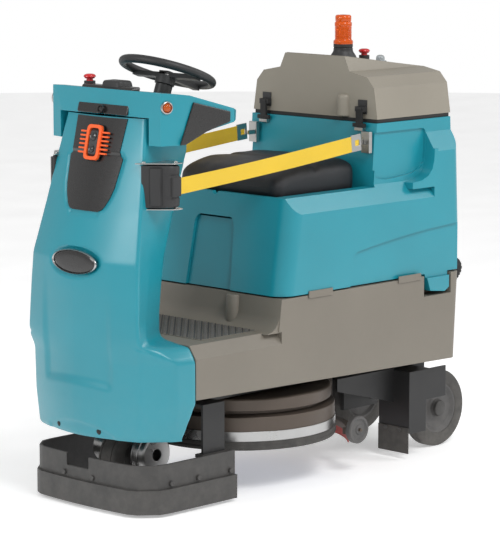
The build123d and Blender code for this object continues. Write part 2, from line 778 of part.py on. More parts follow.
def tyre(x, y, radius, rim, width):
    """Solid tyre with rounded shoulders."""
    with BuildPart() as ring:
        with Locations(Plane.XZ.offset(-y) * Location((x, radius, 0))):
            Cylinder(radius, width)
            Cylinder(rim, width + 2, mode=Mode.SUBTRACT)
        fillet(ring.edges().filter_by(GeomType.CIRCLE).sort_by(SortBy.RADIUS)[-2:], 9)
    return ring.part


def hub(x, y, radius, rim, width, bore):
    """Wheel centre with a raised boss."""
    with BuildPart() as disc:
        with Locations(Plane.XZ.offset(-y) * Location((x, radius, 0))):
            Cylinder(rim - 0.02, width - 20)
            Cylinder(rim * 0.45, width)
            Cylinder(bore + run_gap, width + 10, mode=Mode.SUBTRACT)
    return disc.part


rear_rim = 82.0
for side, name in ((1, "left"), (-1, "right")):
    place = (wheel_x, side * wheel_y, wheel_radius, rear_rim, wheel_width)
    save(Compound([tyre(*place).solid(), hub(*place, axle_radius).solid()]), f"rear_wheel_{name}")

# ---------------------------------------------------------------- wheel guards and side rails
guard_x = -424.0
with BuildPart() as left_guard:
    with Locations((guard_x, 202, 186)):
        Box(6, 130, 200)
    with Locations(((guard_x - 596) / 2 - 3, 264, 236)):
        Box(596 + guard_x, 6, 100)
    with Locations(((guard_x - 500) / 2 - 3, 264, 136)):
        Box(500 + guard_x, 6, 104)
    with Locations((guard_x - 50, 222, 283)):
        Box(100, 90, 6)
with BuildPart() as left_flap:
    with Locations((guard_x + 5.2, 202, 62)):
        Box(4, 128, 84)
save(both_sides(left_flap.part), "guard_flaps")
with BuildPart() as left_guard_bolts:
    for y in (172, 232):
        with Locations(Plane.YZ.offset(guard_x + 7.4) * Location((y, 96, 0))):
            Cylinder(7, 4, align=(Align.CENTER, Align.CENTER, Align.MIN))
with BuildPart() as left_rail:
    with BuildSketch(Plane.XZ.offset(-198)):
        with BuildLine():
            Polyline((-150, 292), (-150, 252), (-362, 196), (-416, 180), (-416, 292), close=True)
        make_face()
    extrude(amount=-6)
    with Locations((-283, 189, 289)):
        Box(260, 20, 6)
save(Compound(both_sides(left_guard.part).solids() + both_sides(left_rail.part).solids()),
     "wheel_guards")

# ---------------------------------------------------------------- brush deck, raised
deck_plate_z = 226.0
with BuildPart() as brush_deck:
    with BuildSketch(Plane.XZ):
        with BuildLine():
            Polyline((66, deck_plate_z), (deck_radius - 6, deck_plate_z), (deck_radius - 6, deck_lip_z + 4),
                     (deck_radius, deck_lip_z + 4), (deck_radius, 235), (262, 238), (262, 249),
                     (286, 251), (286, 286), (280, 290), (66, 290), close=True)
        make_face()
    revolve(axis=Axis.Z)
brush_deck_part = Pos(deck_x, 0, 0) * brush_deck.part
with BuildPart() as deck_band:
    with Locations((deck_x, 0, deck_lip_z + 12)):
        Cylinder(deck_radius + 2.5, 30, align=(Align.CENTER, Align.CENTER, Align.MIN))
        Cylinder(deck_radius + 0.05, 32, align=(Align.CENTER, Align.CENTER, Align.MIN),
                 mode=Mode.SUBTRACT)
save(deck_band.part, "deck_band")
with BuildPart() as deck_lip:
    with Locations((deck_x, 0, deck_lip_z)):
        Cylinder(deck_radius + 4, 12, align=(Align.CENTER, Align.CENTER, Align.MIN))
        Cylinder(deck_radius + 0.05, 30, align=(Align.CENTER, Align.CENTER, Align.MIN),
                 mode=Mode.SUBTRACT)
save(deck_lip.part, "deck_lip")
with BuildPart() as brush_disc:
    with Locations((deck_x, 0, deck_lip_z + deck_travel - 148)):
        Cylinder(270, 54, align=(Align.CENTER, Align.CENTER, Align.MIN))
        Cylinder(60, 54, align=(Align.CENTER, Align.CENTER, Align.MIN), mode=Mode.SUBTRACT)
    with Locations((deck_x, 0, deck_lip_z + deck_travel - 94)):
        Cylinder(272, 16, align=(Align.CENTER, Align.CENTER, Align.MIN))
        Cylinder(40, 16, align=(Align.CENTER, Align.CENTER, Align.MIN))
        Cylinder(spindle_radius + run_gap, 16, align=(Align.CENTER, Align.CENTER, Align.MIN),
                 mode=Mode.SUBTRACT)
save(brush_disc.part, "brush_disc")
with BuildPart() as brush_motor:
    with Locations((deck_x, 0, deck_plate_z)):
        Cylinder(66, 66, align=(Align.CENTER, Align.CENTER, Align.MIN))
    with Locations((deck_x, 0, deck_plate_z - 56)):
        Cylinder(spindle_radius, 60, align=(Align.CENTER, Align.CENTER, Align.MIN))
save(brush_motor.part, "brush_motor")
with BuildPart() as deck_posts:
    for y in (-post_y, post_y):
        with Locations((post_x, y, 290)):
            Cylinder(post_radius, deck_travel + 48, align=(Align.CENTER, Align.CENTER, Align.MIN))
save(Compound([brush_deck_part.solid()] + deck_posts.part.solids()), "brush_deck")

# ---------------------------------------------------------------- squeegee behind the deck
squeegee_low_z = 94.0
caster_x = -160.0
caster_y = 279.0
caster_radius = 44.0
caster_z = squeegee_low_z + caster_radius + 4


def arc_band(inner, outer, low, high, half_angle):
    """Band round the deck's centre, open towards the front."""
    with BuildPart() as band:
        with Locations((deck_x, 0, low)):
            Cylinder(outer, high - low, align=(Align.CENTER, Align.CENTER, Align.MIN))
            Cylinder(inner, high - low, align=(Align.CENTER, Align.CENTER, Align.MIN),
                     mode=Mode.SUBTRACT)
        with BuildSketch(Plane.XY.offset(low)):
            with BuildLine():
                a = radians(180 - half_angle)
                far = 3 * outer
                Polyline((deck_x, 0), (deck_x + far * cos(a), far * sin(a)), (deck_x - far, far),
                         (deck_x - far, -far), (deck_x + far * cos(a), -far * sin(a)), close=True)
            make_face()
        extrude(amount=high - low, mode=Mode.INTERSECT)
    return band.part


with BuildPart() as squeegee_frame:
    add(arc_band(squeegee_radius - 12, squeegee_radius + 12, squeegee_low_z + 28, squeegee_low_z + 48, 43))
    for y in (-60, 60):
        with Locations((deck_x - squeegee_radius, y, squeegee_low_z + 40)):
            Cylinder(10, 396 - squeegee_low_z - 40, align=(Align.CENTER, Align.CENTER, Align.MIN))
    with Locations((deck_x - squeegee_radius + 2, 0, squeegee_low_z + 42)):
        Box(34, 160, 12)
    for side in (-1, 1):
        with Locations((-168, side * 248, squeegee_low_z + 38)):
            Box(40, 38, 20)
        with Locations((caster_x, side * 262, squeegee_low_z + 50)):
            Box(26, 10, 44)
        with Locations(Plane.XZ.offset(-side * (caster_y - 2)) * Location((caster_x, caster_z, 0))):
            Cylinder(5, 40)
save(squeegee_frame.part, "squeegee_frame")
with BuildPart() as squeegee_blades:
    add(arc_band(squeegee_radius - 8, squeegee_radius - 4, squeegee_low_z, squeegee_low_z + 28, 45))
    add(arc_band(squeegee_radius + 4, squeegee_radius + 8, squeegee_low_z, squeegee_low_z + 28, 45))
save(squeegee_blades.part, "squeegee_blades")
for side, name in ((1, "left"), (-1, "right")):
    with BuildPart() as roller:
        with Locations(Plane.XZ.offset(-side * caster_y) * Location((caster_x, caster_z, 0))):
            Cylinder(caster_radius, 22)
            Cylinder(5 + run_gap, 40, mode=Mode.SUBTRACT)
        fillet(roller.edges().filter_by(GeomType.CIRCLE).sort_by(SortBy.RADIUS)[-2:], 6)
    save(roller.part, f"squeegee_roller_{name}")

# ---------------------------------------------------------------- drive unit
with BuildPart() as steer_fork:
    with Locations((drive_x, 0, frame_low_z - 4)):
        Cylinder(fork_shaft_radius, 76, align=(Align.CENTER, Align.CENTER, Align.MIN))
        Cylinder(56, 4, align=(Align.CENTER, Align.CENTER, Align.MAX))
    with Locations((drive_x, 0, frame_low_z - 8)):
        Box(110, 2 * (drive_width / 2 + 22), 14, align=(Align.CENTER, Align.CENTER, Align.MAX))
    for side in (-1, 1):
        with Locations((drive_x, side * (drive_width / 2 + 15), frame_low_z - 8)):
            Box(74, 12, frame_low_z - drive_radius + 8,
                align=(Align.CENTER, Align.CENTER, Align.MAX))
    with Locations(Plane.XZ * Location((drive_x, drive_radius, 0))):
        Cylinder(axle_radius, drive_width + 42)
    with Locations((drive_x, 0, frame_low_z + 72)):
        Cylinder(62, 6, align=(Align.CENTER, Align.CENTER, Align.MIN))
save(steer_fork.part, "steer_fork")
place = (drive_x, 0, drive_radius, 76, drive_width)
save(Compound([tyre(*place).solid(), hub(*place, axle_radius).solid()]), "drive_wheel")
with BuildPart() as drive_motor:
    with Locations(Plane.XZ.offset(drive_width / 2 + 22) * Location((drive_x, drive_radius + 24, 0))):
        Cylinder(46, 70, align=(Align.CENTER, Align.CENTER, Align.MIN))
save(drive_motor.part, "drive_motor")
# ---------------------------------------------------------------- front skirt
def skirt_wall(grow, low, high, thick):
    """U-shaped wall of the skirt, open at the back."""
    with BuildPart() as shell:
        walls = ((-grow, Mode.ADD, high, low), (thick, Mode.SUBTRACT, high + 1, low - 1))
        for inset, mode, top, bottom in walls:
            with BuildSketch(Plane.XY.offset(bottom)):
                with BuildLine():
                    front = skirt_x - inset
                    side = skirt_half_width - inset
                    back = skirt_rear_x - (10 if mode == Mode.SUBTRACT else 0)
                    Polyline((front - 10, 190), (front - 24, 221), (676, side - 6), (640, side),
                             (back, side), (back, -side), (640, -side), (676, 6 - side),
                             (front - 24, -221), (front - 10, -190))
                    ThreePointArc((front - 10, -190), (front, 0), (front - 10, 190))
                make_face()
            extrude(amount=top - bottom, mode=mode)
    return shell.part


with BuildPart() as front_skirt:
    add(skirt_wall(-10, skirt_low_z + 62, skirt_top_z, 18))
    add(skirt_wall(0, skirt_low_z, skirt_low_z + 72, 18))
    for side in (-1, 1):
        with Locations((430, side * (skirt_half_width - 35), skirt_top_z - 5)):
            Box(110, 40, 10)
save(front_skirt.part, "front_skirt")
with BuildPart() as skirt_bolts:
    for y in (-82, 42):
        with Locations(Plane.YZ.offset(skirt_x - 12) * Location((y, 96, 0))):
            Cylinder(8, 7, align=(Align.CENTER, Align.CENTER, Align.MIN))
    for x in (383, 517, 628):
        for side in (-1, 1):
            with Locations(Plane.XZ.offset(-side * (skirt_half_width - 6)) * Location((x, 96, 0))):
                Cylinder(8, 8)
    add(front_skirt.part, mode=Mode.SUBTRACT)
save(Compound(skirt_bolts.part.solids() + both_sides(left_guard_bolts.part).solids()), "dome_bolts")

# ---------------------------------------------------------------- drain hose
hose_radius = 19.0
hose_from = (tail_x - 14, 80, 632)
hose_to = (tail_x - 30, 165, 400)
with BuildPart() as drain_hose:
    with BuildLine():
        FilletPolyline(hose_from, (tail_x - 84, 80, 632), (tail_x - 88, 222, 600),
                       (tail_x - 30, 165, 480), hose_to, radius=[50, 55, 30])
    with BuildSketch(Plane(origin=hose_from, z_dir=(-1, 0, 0))):
        Circle(hose_radius)
    sweep()
with BuildPart() as hose_ends:
    with Locations(Plane.YZ.offset(tail_x - 0.5) * Location((hose_from[1], hose_from[2], 0))):
        Cylinder(26, 13.4, align=(Align.CENTER, Align.CENTER, Align.MAX))
    with Locations((hose_to[0], hose_to[1], hose_to[2] - 0.05)):
        Cylinder(23, 16, align=(Align.CENTER, Align.CENTER, Align.MAX))
save(Compound([drain_hose.part.solid()] + hose_ends.part.solids()), "drain_hose")
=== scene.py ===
import json
import math

import bmesh
import bpy
from mathutils import Matrix, Vector
from mathutils.bvhtree import BVHTree
from mathutils.noise import noise


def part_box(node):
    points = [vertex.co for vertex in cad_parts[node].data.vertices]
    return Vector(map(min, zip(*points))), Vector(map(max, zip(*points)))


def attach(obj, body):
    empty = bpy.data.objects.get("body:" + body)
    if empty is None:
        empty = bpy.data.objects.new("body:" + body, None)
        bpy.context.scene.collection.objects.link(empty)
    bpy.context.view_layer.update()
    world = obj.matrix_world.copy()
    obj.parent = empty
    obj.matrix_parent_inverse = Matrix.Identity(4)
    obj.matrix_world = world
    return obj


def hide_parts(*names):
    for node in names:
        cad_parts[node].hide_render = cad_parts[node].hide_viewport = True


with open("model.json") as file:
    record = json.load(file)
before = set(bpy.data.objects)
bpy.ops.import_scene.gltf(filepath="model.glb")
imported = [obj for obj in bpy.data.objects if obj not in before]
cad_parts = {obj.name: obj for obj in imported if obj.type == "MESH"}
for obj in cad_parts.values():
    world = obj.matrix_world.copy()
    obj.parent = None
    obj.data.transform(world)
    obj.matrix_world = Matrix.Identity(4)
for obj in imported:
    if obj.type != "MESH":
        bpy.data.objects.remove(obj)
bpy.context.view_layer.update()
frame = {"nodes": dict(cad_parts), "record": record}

MM = 0.001
SLOTS = {s["node"]: s["material_slot"] for s in frame["record"]["subparts"]}
BODY_OF = {n: b for b, nodes in frame["record"]["behaviour"]["bodies"].items() for n in nodes}


# ---------------------------------------------------------------- camera, floor and lights
def place_camera():
    data = bpy.data.cameras.new("camera")
    data.lens = 184.0
    data.sensor_width = 36.0
    data.clip_end = 60
    eye = bpy.data.objects.new("camera", data)
    bpy.context.scene.collection.objects.link(eye)
    eye.location = (6.059, 5.912, 1.912)
    forward = Vector((-0.7059, -0.6925, -0.1487))
    eye.rotation_euler = forward.to_track_quat("-Z", "Y").to_euler()
    bpy.context.scene.camera = eye


def area_light(name, place, towards, size, power, colour=(1, 1, 1)):
    data = bpy.data.lights.new(name, "AREA")
    data.energy = power
    data.size = size
    data.color = colour
    lamp = bpy.data.objects.new(name, data)
    bpy.context.scene.collection.objects.link(lamp)
    lamp.location = place
    lamp.rotation_euler = (Vector(towards) - Vector(place)).to_track_quat("-Z", "Y").to_euler()


def studio():
    world = bpy.data.worlds.new("studio")
    world.use_nodes = True
    world.node_tree.nodes["Background"].inputs["Color"].default_value = (1, 1, 1, 1)
    world.node_tree.nodes["Background"].inputs["Strength"].default_value = 0.55
    tree = world.node_tree
    plain = tree.nodes.new("ShaderNodeBackground")
    seen = tree.nodes.new("ShaderNodeLightPath")
    mix = tree.nodes.new("ShaderNodeMixShader")
    wire(tree, [(seen.outputs["Is Camera Ray"], mix.inputs[0]),
                (tree.nodes["Background"].outputs[0], mix.inputs[1]), (plain.outputs[0], mix.inputs[2]),
                (mix.outputs[0], tree.nodes["World Output"].inputs["Surface"])])
    plain.inputs["Color"].default_value = (1, 1, 1, 1)
    bpy.context.scene.world = world
    bpy.context.scene.view_settings.view_transform = "Standard"
    area_light("key", (1.2, 4.2, 5.2), (0.1, 0, 0.7), 2.0, 175)
    area_light("front", (5.5, -1.0, 3.2), (0.3, 0, 0.7), 1.6, 85)
    area_light("rim", (-3.5, 3.0, 3.4), (0, 0, 0.8), 2.0, 60)
    bm = bmesh.new()
    bmesh.ops.create_circle(bm, cap_ends=True, segments=64, radius=14)
    mesh = bpy.data.meshes.new("floor")
    bm.to_mesh(mesh)
    bm.free()
    floor = bpy.data.objects.new("floor", mesh)
    bpy.context.scene.collection.objects.link(floor)
    paint = MATERIALS["floor"].node_tree.nodes["Principled BSDF"]
    paint.inputs["Emission Color"].default_value = (1, 1, 1, 1)
    paint.inputs["Emission Strength"].default_value = 0.35
    mesh.materials.append(MATERIALS["floor"])


# ---------------------------------------------------------------- shader node groups
def new_group(name, inputs, outputs):
    group = bpy.data.node_groups.new(name, "ShaderNodeTree")
    for socket, kind, value in inputs:
        made = group.interface.new_socket(name=socket, in_out="INPUT", socket_type=kind)
        made.default_value = value
    for socket, kind in outputs:
        group.interface.new_socket(name=socket, in_out="OUTPUT", socket_type=kind)
    return group


def wire(tree, pairs):
    for start, end in pairs:
        tree.links.new(start, end)


def add_noise(tree, vector, scale, detail=3.0, rough=0.5):
    node = tree.nodes.new("ShaderNodeTexNoise")
    node.inputs["Scale"].default_value = scale
    node.inputs["Detail"].default_value = detail
    node.inputs["Roughness"].default_value = rough
    tree.links.new(vector, node.inputs["Vector"])
    return node.outputs["Fac"]


def add_math(tree, operation, a, b):
    node = tree.nodes.new("ShaderNodeMath")
    node.operation = operation
    for socket, value in ((node.inputs[0], a), (node.inputs[1], b)):
        if isinstance(value, (int, float)):
            socket.default_value = value
        else:
            tree.links.new(value, socket)
    return node.outputs[0]


def add_ramp(tree, fac, low, high, a=(0, 0, 0, 1), b=(1, 1, 1, 1)):
    node = tree.nodes.new("ShaderNodeValToRGB")
    node.color_ramp.elements[0].position = low
    node.color_ramp.elements[1].position = high
    node.color_ramp.elements[0].color = a
    node.color_ramp.elements[1].color = b
    tree.links.new(fac, node.inputs["Fac"])
    return node.outputs["Color"]


def add_mix(tree, fac, a, b, blend="MIX"):
    node = tree.nodes.new("ShaderNodeMix")
    node.data_type = "RGBA"
    node.blend_type = blend
    sockets = [s for s in node.inputs if s.type == "RGBA"]
    for socket, value in ((node.inputs[0], fac), (sockets[0], a), (sockets[1], b)):
        if isinstance(value, (int, float, tuple)):
            socket.default_value = value
        else:
            tree.links.new(value, socket)
    return [s for s in node.outputs if s.type == "RGBA"][0]


def moulding_group():
    """Moulded surface: soft mottling, fine pebble grain, scuffs and a little dust low down."""
    group = new_group(
        "moulded_surface",
        [("Color", "NodeSocketColor", (0.5, 0.5, 0.5, 1)), ("Roughness", "NodeSocketFloat", 0.4),
         ("Grain", "NodeSocketFloat", 0.2), ("Grain Scale", "NodeSocketFloat", 700.0),
         ("Dust", "NodeSocketFloat", 0.15)],
        [("Color", "NodeSocketColor"), ("Roughness", "NodeSocketFloat"), ("Normal", "NodeSocketVector")],
    )
    start = group.nodes.new("NodeGroupInput")
    end = group.nodes.new("NodeGroupOutput")
    place = group.nodes.new("ShaderNodeTexCoord").outputs["Object"]
    mottle = add_noise(group, place, 3.5, 4.0)
    light = add_mix(group, 1.0, start.outputs["Color"], (1.12, 1.12, 1.12, 1), "MULTIPLY")
    dark = add_mix(group, 1.0, start.outputs["Color"], (0.88, 0.88, 0.88, 1), "MULTIPLY")
    body = add_mix(group, mottle, dark, light)
    split = group.nodes.new("ShaderNodeSeparateXYZ")
    group.links.new(place, split.inputs[0])
    low = group.nodes.new("ShaderNodeMapRange")
    group.links.new(split.outputs["Z"], low.inputs["Value"])
    low.inputs["From Min"].default_value = 0.55
    low.inputs["From Max"].default_value = 0.0
    speck = add_noise(group, place, 26.0, 6.0, 0.65)
    dust = add_math(group, "MULTIPLY", add_math(group, "MULTIPLY", low.outputs["Result"], speck),
                    start.outputs["Dust"])
    dusty = add_mix(group, dust, body, (0.45, 0.42, 0.38, 1))
    scuff = add_noise(group, place, 60.0, 8.0, 0.7)
    rough = add_math(group, "ADD", start.outputs["Roughness"],
                     add_math(group, "MULTIPLY", add_math(group, "SUBTRACT", scuff, 0.5), 0.16))
    rough = add_math(group, "ADD", rough, add_math(group, "MULTIPLY", dust, 0.5))
    pebble = group.nodes.new("ShaderNodeTexVoronoi")
    group.links.new(place, pebble.inputs["Vector"])
    group.links.new(start.outputs["Grain Scale"], pebble.inputs["Scale"])
    ripple = add_noise(group, place, 9.0, 2.0)
    height = add_math(group, "ADD", pebble.outputs["Distance"], add_math(group, "MULTIPLY", ripple, 3.0))
    bump = group.nodes.new("ShaderNodeBump")
    bump.inputs["Distance"].default_value = 0.0006
    wire(group, [(height, bump.inputs["Height"]), (start.outputs["Grain"], bump.inputs["Strength"]),
                 (dusty, end.inputs["Color"]), (rough, end.inputs["Roughness"]),
                 (bump.outputs["Normal"], end.inputs["Normal"])])
    return group


def brushed_group():
    """Metal: fine lines along the surface and cloudy tarnish."""
    group = new_group(
        "worked_metal",
        [("Color", "NodeSocketColor", (0.5, 0.5, 0.5, 1)), ("Roughness", "NodeSocketFloat", 0.35),
         ("Lines", "NodeSocketFloat", 0.3)],
        [("Color", "NodeSocketColor"), ("Roughness", "NodeSocketFloat"), ("Normal", "NodeSocketVector")],
    )
    start = group.nodes.new("NodeGroupInput")
    end = group.nodes.new("NodeGroupOutput")
    place = group.nodes.new("ShaderNodeTexCoord").outputs["Object"]
    stretch = group.nodes.new("ShaderNodeMapping")
    stretch.inputs["Scale"].default_value = (30, 30, 900)
    group.links.new(place, stretch.inputs["Vector"])
    lines = add_noise(group, stretch.outputs[0], 1.0, 2.0)
    cloud = add_noise(group, place, 14.0, 5.0, 0.6)
    dark = add_mix(group, 1.0, start.outputs["Color"], (0.72, 0.71, 0.70, 1), "MULTIPLY")
    body = add_mix(group, cloud, dark, start.outputs["Color"])
    rough = add_math(group, "ADD", start.outputs["Roughness"],
                     add_math(group, "MULTIPLY", add_math(group, "SUBTRACT", cloud, 0.5), 0.25))
    bump = group.nodes.new("ShaderNodeBump")
    bump.inputs["Distance"].default_value = 0.0002
    wire(group, [(lines, bump.inputs["Height"]), (start.outputs["Lines"], bump.inputs["Strength"]),
                 (body, end.inputs["Color"]), (rough, end.inputs["Roughness"]),
                 (bump.outputs["Normal"], end.inputs["Normal"])])
    return group


GROUPS = {"moulded": moulding_group(), "metal": brushed_group()}


def linear(red, green, blue):
    """Scene-linear colour from the 0 to 255 values of a paint chart."""
    parts = [((c / 255 + 0.055) / 1.055) ** 2.4 if c > 10 else c / 3295 for c in (red, green, blue)]
    return (*parts, 1)


def finish_with(name, group, values, metallic=0.0, coat=0.0, coat_rough=0.1, specular=0.5):
    """Material whose colour, roughness and normal come from one of the groups."""
    material = bpy.data.materials.new(name)
    material.use_nodes = True
    tree = material.node_tree
    shader = tree.nodes["Principled BSDF"]
    node = tree.nodes.new("ShaderNodeGroup")
    node.node_tree = GROUPS[group]
    for socket, value in values.items():
        node.inputs[socket].default_value = value
    wire(tree, [(node.outputs["Color"], shader.inputs["Base Color"]),
                (node.outputs["Roughness"], shader.inputs["Roughness"]),
                (node.outputs["Normal"], shader.inputs["Normal"])])
    shader.inputs["Metallic"].default_value = metallic
    shader.inputs["Coat Weight"].default_value = coat
    shader.inputs["Coat Roughness"].default_value = coat_rough
    shader.inputs["Specular IOR Level"].default_value = specular
    return material


def moulded(name, colour, rough, grain=0.2, scale=700.0, dust=0.12, **more):
    return finish_with(name, "moulded", {"Color": linear(*colour), "Roughness": rough, "Grain": grain,
                                         "Grain Scale": scale, "Dust": dust}, **more)


def metal(name, colour, rough, lines=0.3, metallic=1.0, **more):
    return finish_with(name, "metal", {"Color": linear(*colour), "Roughness": rough, "Lines": lines},
                       metallic=metallic, **more)


def clear_plastic(name, colour, rough, glow=0.0):
    """Tinted see-through lens with a faint moulded ripple."""
    material = bpy.data.materials.new(name)
    material.use_nodes = True
    tree = material.node_tree
    shader = tree.nodes["Principled BSDF"]
    place = tree.nodes.new("ShaderNodeTexCoord").outputs["Object"]
    tint = add_mix(tree, add_noise(tree, place, 40.0), linear(*colour),
                   tuple(c * 0.8 for c in linear(*colour)[:3]) + (1,))
    bump = tree.nodes.new("ShaderNodeBump")
    bump.inputs["Strength"].default_value = 0.15
    bump.inputs["Distance"].default_value = 0.0005
    wire(tree, [(tint, shader.inputs["Base Color"]), (add_noise(tree, place, 120.0), bump.inputs["Height"]),
                (bump.outputs["Normal"], shader.inputs["Normal"])])
    shader.inputs["Roughness"].default_value = rough
    shader.inputs["Transmission Weight"].default_value = 0.55
    shader.inputs["IOR"].default_value = 1.45
    if glow:
        tree.links.new(tint, shader.inputs["Emission Color"])
        shader.inputs["Emission Strength"].default_value = glow
    return material


def webbing(name, colour):
    """Woven belt: ribs across its height and a fine diagonal weave."""
    material = bpy.data.materials.new(name)
    material.use_nodes = True
    tree = material.node_tree
    shader = tree.nodes["Principled BSDF"]
    place = tree.nodes.new("ShaderNodeTexCoord").outputs["Object"]
    waves = []
    for direction, scale in (("X", 160.0), ("Z", 260.0), ("DIAGONAL", 210.0)):
        wave = tree.nodes.new("ShaderNodeTexWave")
        wave.bands_direction = direction
        wave.inputs["Scale"].default_value = scale
        wave.inputs["Distortion"].default_value = 0.6
        tree.links.new(place, wave.inputs["Vector"])
        waves.append(wave.outputs["Fac"])
    weave = add_math(tree, "MULTIPLY", add_math(tree, "ADD", waves[0], waves[1]), waves[2])
    base = linear(*colour)
    dark = tuple(c * 0.62 for c in base[:3]) + (1,)
    tint = add_mix(tree, weave, dark, base)
    tint = add_mix(tree, add_ramp(tree, add_noise(tree, place, 7.0, 5.0), 0.35, 0.8), tint,
                   tuple(c * 0.85 for c in base[:3]) + (1,))
    bump = tree.nodes.new("ShaderNodeBump")
    bump.inputs["Strength"].default_value = 0.6
    bump.inputs["Distance"].default_value = 0.0006
    wire(tree, [(tint, shader.inputs["Base Color"]), (weave, bump.inputs["Height"]),
                (bump.outputs["Normal"], shader.inputs["Normal"])])
    shader.inputs["Roughness"].default_value = 0.78
    shader.inputs["Sheen Weight"].default_value = 0.25
    return material


def vinyl(name, colour):
    """Seat covering: leather-like cells, soft creases and a satin shine."""
    material = bpy.data.materials.new(name)
    material.use_nodes = True
    tree = material.node_tree
    shader = tree.nodes["Principled BSDF"]
    place = tree.nodes.new("ShaderNodeTexCoord").outputs["Object"]
    cells = tree.nodes.new("ShaderNodeTexVoronoi")
    cells.feature = "DISTANCE_TO_EDGE"
    cells.inputs["Scale"].default_value = 420.0
    tree.links.new(place, cells.inputs["Vector"])
    grain = add_ramp(tree, cells.outputs["Distance"], 0.0, 0.25)
    folds = add_noise(tree, place, 24.0, 6.0, 0.6)
    bump = tree.nodes.new("ShaderNodeBump")
    bump.inputs["Strength"].default_value = 0.35
    bump.inputs["Distance"].default_value = 0.0008
    height = add_math(tree, "ADD", grain, add_math(tree, "MULTIPLY", folds, 1.5))
    base = linear(*colour)
    tint = add_mix(tree, folds, base, tuple(min(1, c * 1.9) for c in base[:3]) + (1,))
    rough = add_math(tree, "ADD", add_math(tree, "MULTIPLY", folds, 0.25), 0.32)
    wire(tree, [(tint, shader.inputs["Base Color"]), (height, bump.inputs["Height"]),
                (rough, shader.inputs["Roughness"]), (bump.outputs["Normal"], shader.inputs["Normal"])])
    return material


MATERIALS = {
    "floor": moulded("floor_paint", (246, 246, 246), 0.6, grain=0.0, dust=0.0),
    "teal_plastic": moulded("teal_plastic", (24, 136, 152), 0.33, 0.16, 900.0, 0.10, coat=0.25,
                            coat_rough=0.18),
    "grey_plastic": moulded("warm_grey_plastic", (118, 112, 102), 0.5, 0.28, 620.0),
    "lid_plastic": moulded("lid_grey_plastic", (138, 132, 120), 0.5, 0.28, 620.0),
    "black_plastic": moulded("black_plastic", (40, 40, 41), 0.5, 0.3, 560.0, 0.2),
    "black_gloss": moulded("black_gloss_panel", (26, 25, 25), 0.28, 0.05, 900.0, 0.05, coat=0.4,
                           coat_rough=0.08),
    "black_steel": metal("black_painted_steel", (34, 34, 35), 0.45, 0.1, 0.0),
    "zinc_steel": metal("zinc_plated_steel", (200, 200, 198), 0.32),
    "deck_alloy": metal("deck_casting", (92, 82, 74), 0.45, 0.15, 0.35),
    "band_alloy": metal("rolled_band", (190, 190, 190), 0.3, 0.5),
    "rubber": moulded("black_rubber", (30, 30, 30), 0.68, 0.35, 420.0, 0.25),
    "tyre_rubber": moulded("tyre_rubber", (36, 36, 37), 0.72, 0.35, 380.0, 0.35),
    "red_rubber": moulded("red_rubber", (176, 40, 30), 0.55, 0.2, 420.0, 0.1),
    "seat_vinyl": vinyl("seat_vinyl", (24, 24, 27)),
    "belt_webbing": webbing("yellow_webbing", (247, 205, 22)),
    "amber": clear_plastic("amber_lens", (226, 98, 20), 0.12, 0.12),
    "orange": moulded("orange_plastic", (238, 96, 38), 0.45, 0.1),
    "clear": clear_plastic("clear_lens", (205, 212, 215), 0.08),
    "red_plastic": moulded("red_plastic", (196, 24, 30), 0.3, 0.05, coat=0.3),
    "bristle": moulded("brush_bristle", (58, 84, 140), 0.8, 0.9, 260.0, 0.3),
    "hub_plastic": moulded("hub_plastic", (58, 58, 60), 0.5, 0.25, 600.0, 0.3),
    # Flat near-black that is painted shade: it lies in the seam between tank and base, round the sensor ring
    # and on the nose bolts.
    "dark_gap": moulded("painted_shade_black", (14, 14, 14), 0.8, 0.1),
    "pod_grey": moulded("pod_grey_plastic", (56, 57, 59), 0.5, 0.3, 560.0),
}


# ---------------------------------------------------------------- making pieces
def finish_piece(name, bm, body, slot, material=None, nodes=(), sharp=32, modifiers=()):
    """Turns a bmesh in metres into a shaded piece that rides on a body."""
    limit = math.radians(sharp)
    bm.normal_update()
    for face in bm.faces:
        face.smooth = True
    for edge in bm.edges:
        if edge.is_manifold:
            edge.smooth = edge.calc_face_angle(0.0) < limit
    mesh = bpy.data.meshes.new(name)
    bm.to_mesh(mesh)
    bm.free()
    mesh.materials.append(MATERIALS[material or slot])
    made = bpy.data.objects.new(name, mesh)
    bpy.context.scene.collection.objects.link(made)
    for kind, settings in modifiers:
        modifier = made.modifiers.new(kind.lower(), kind)
        for key, value in settings.items():
            setattr(modifier, key, value)
    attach(made, body)
    if nodes:
        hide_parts(*nodes)
    return made


def soft_edges(width, segments=3, angle=30):
    return ("BEVEL", {"width": width * MM, "segments": segments, "limit_method": "ANGLE",
                      "angle_limit": math.radians(angle), "harden_normals": True})


def merged_copy(node):
    """The CAD node's shape as one clean mesh, with its flat faces whole again."""
    bm = bmesh.new()
    bm.from_mesh(frame["nodes"][node].data)
    bmesh.ops.remove_doubles(bm, verts=bm.verts, dist=0.02 * MM)
    bmesh.ops.dissolve_degenerate(bm, edges=bm.edges, dist=0.02 * MM)
    bmesh.ops.dissolve_limit(bm, angle_limit=math.radians(0.6), verts=bm.verts, edges=bm.edges)
    return bm


def softened(node, width, material=None, segments=3, sharp=32, cutters=(), fillers=(), warp=None):
    """A CAD node as a moulded or pressed piece, its hard edges rounded over."""
    bm = merged_copy(node)
    if fillers:
        bm = carved(bm, fillers, "UNION")
    if warp:
        for v in bm.verts:
            v.co = Vector(warp(*(v.co / MM))) * MM
    if cutters:
        bm = carved(bm, cutters)
    rounding = [soft_edges(width, segments)] if width else []
    return finish_piece(f"{node}_skin", bm, BODY_OF[node], SLOTS[node], material, [node], sharp, rounding)


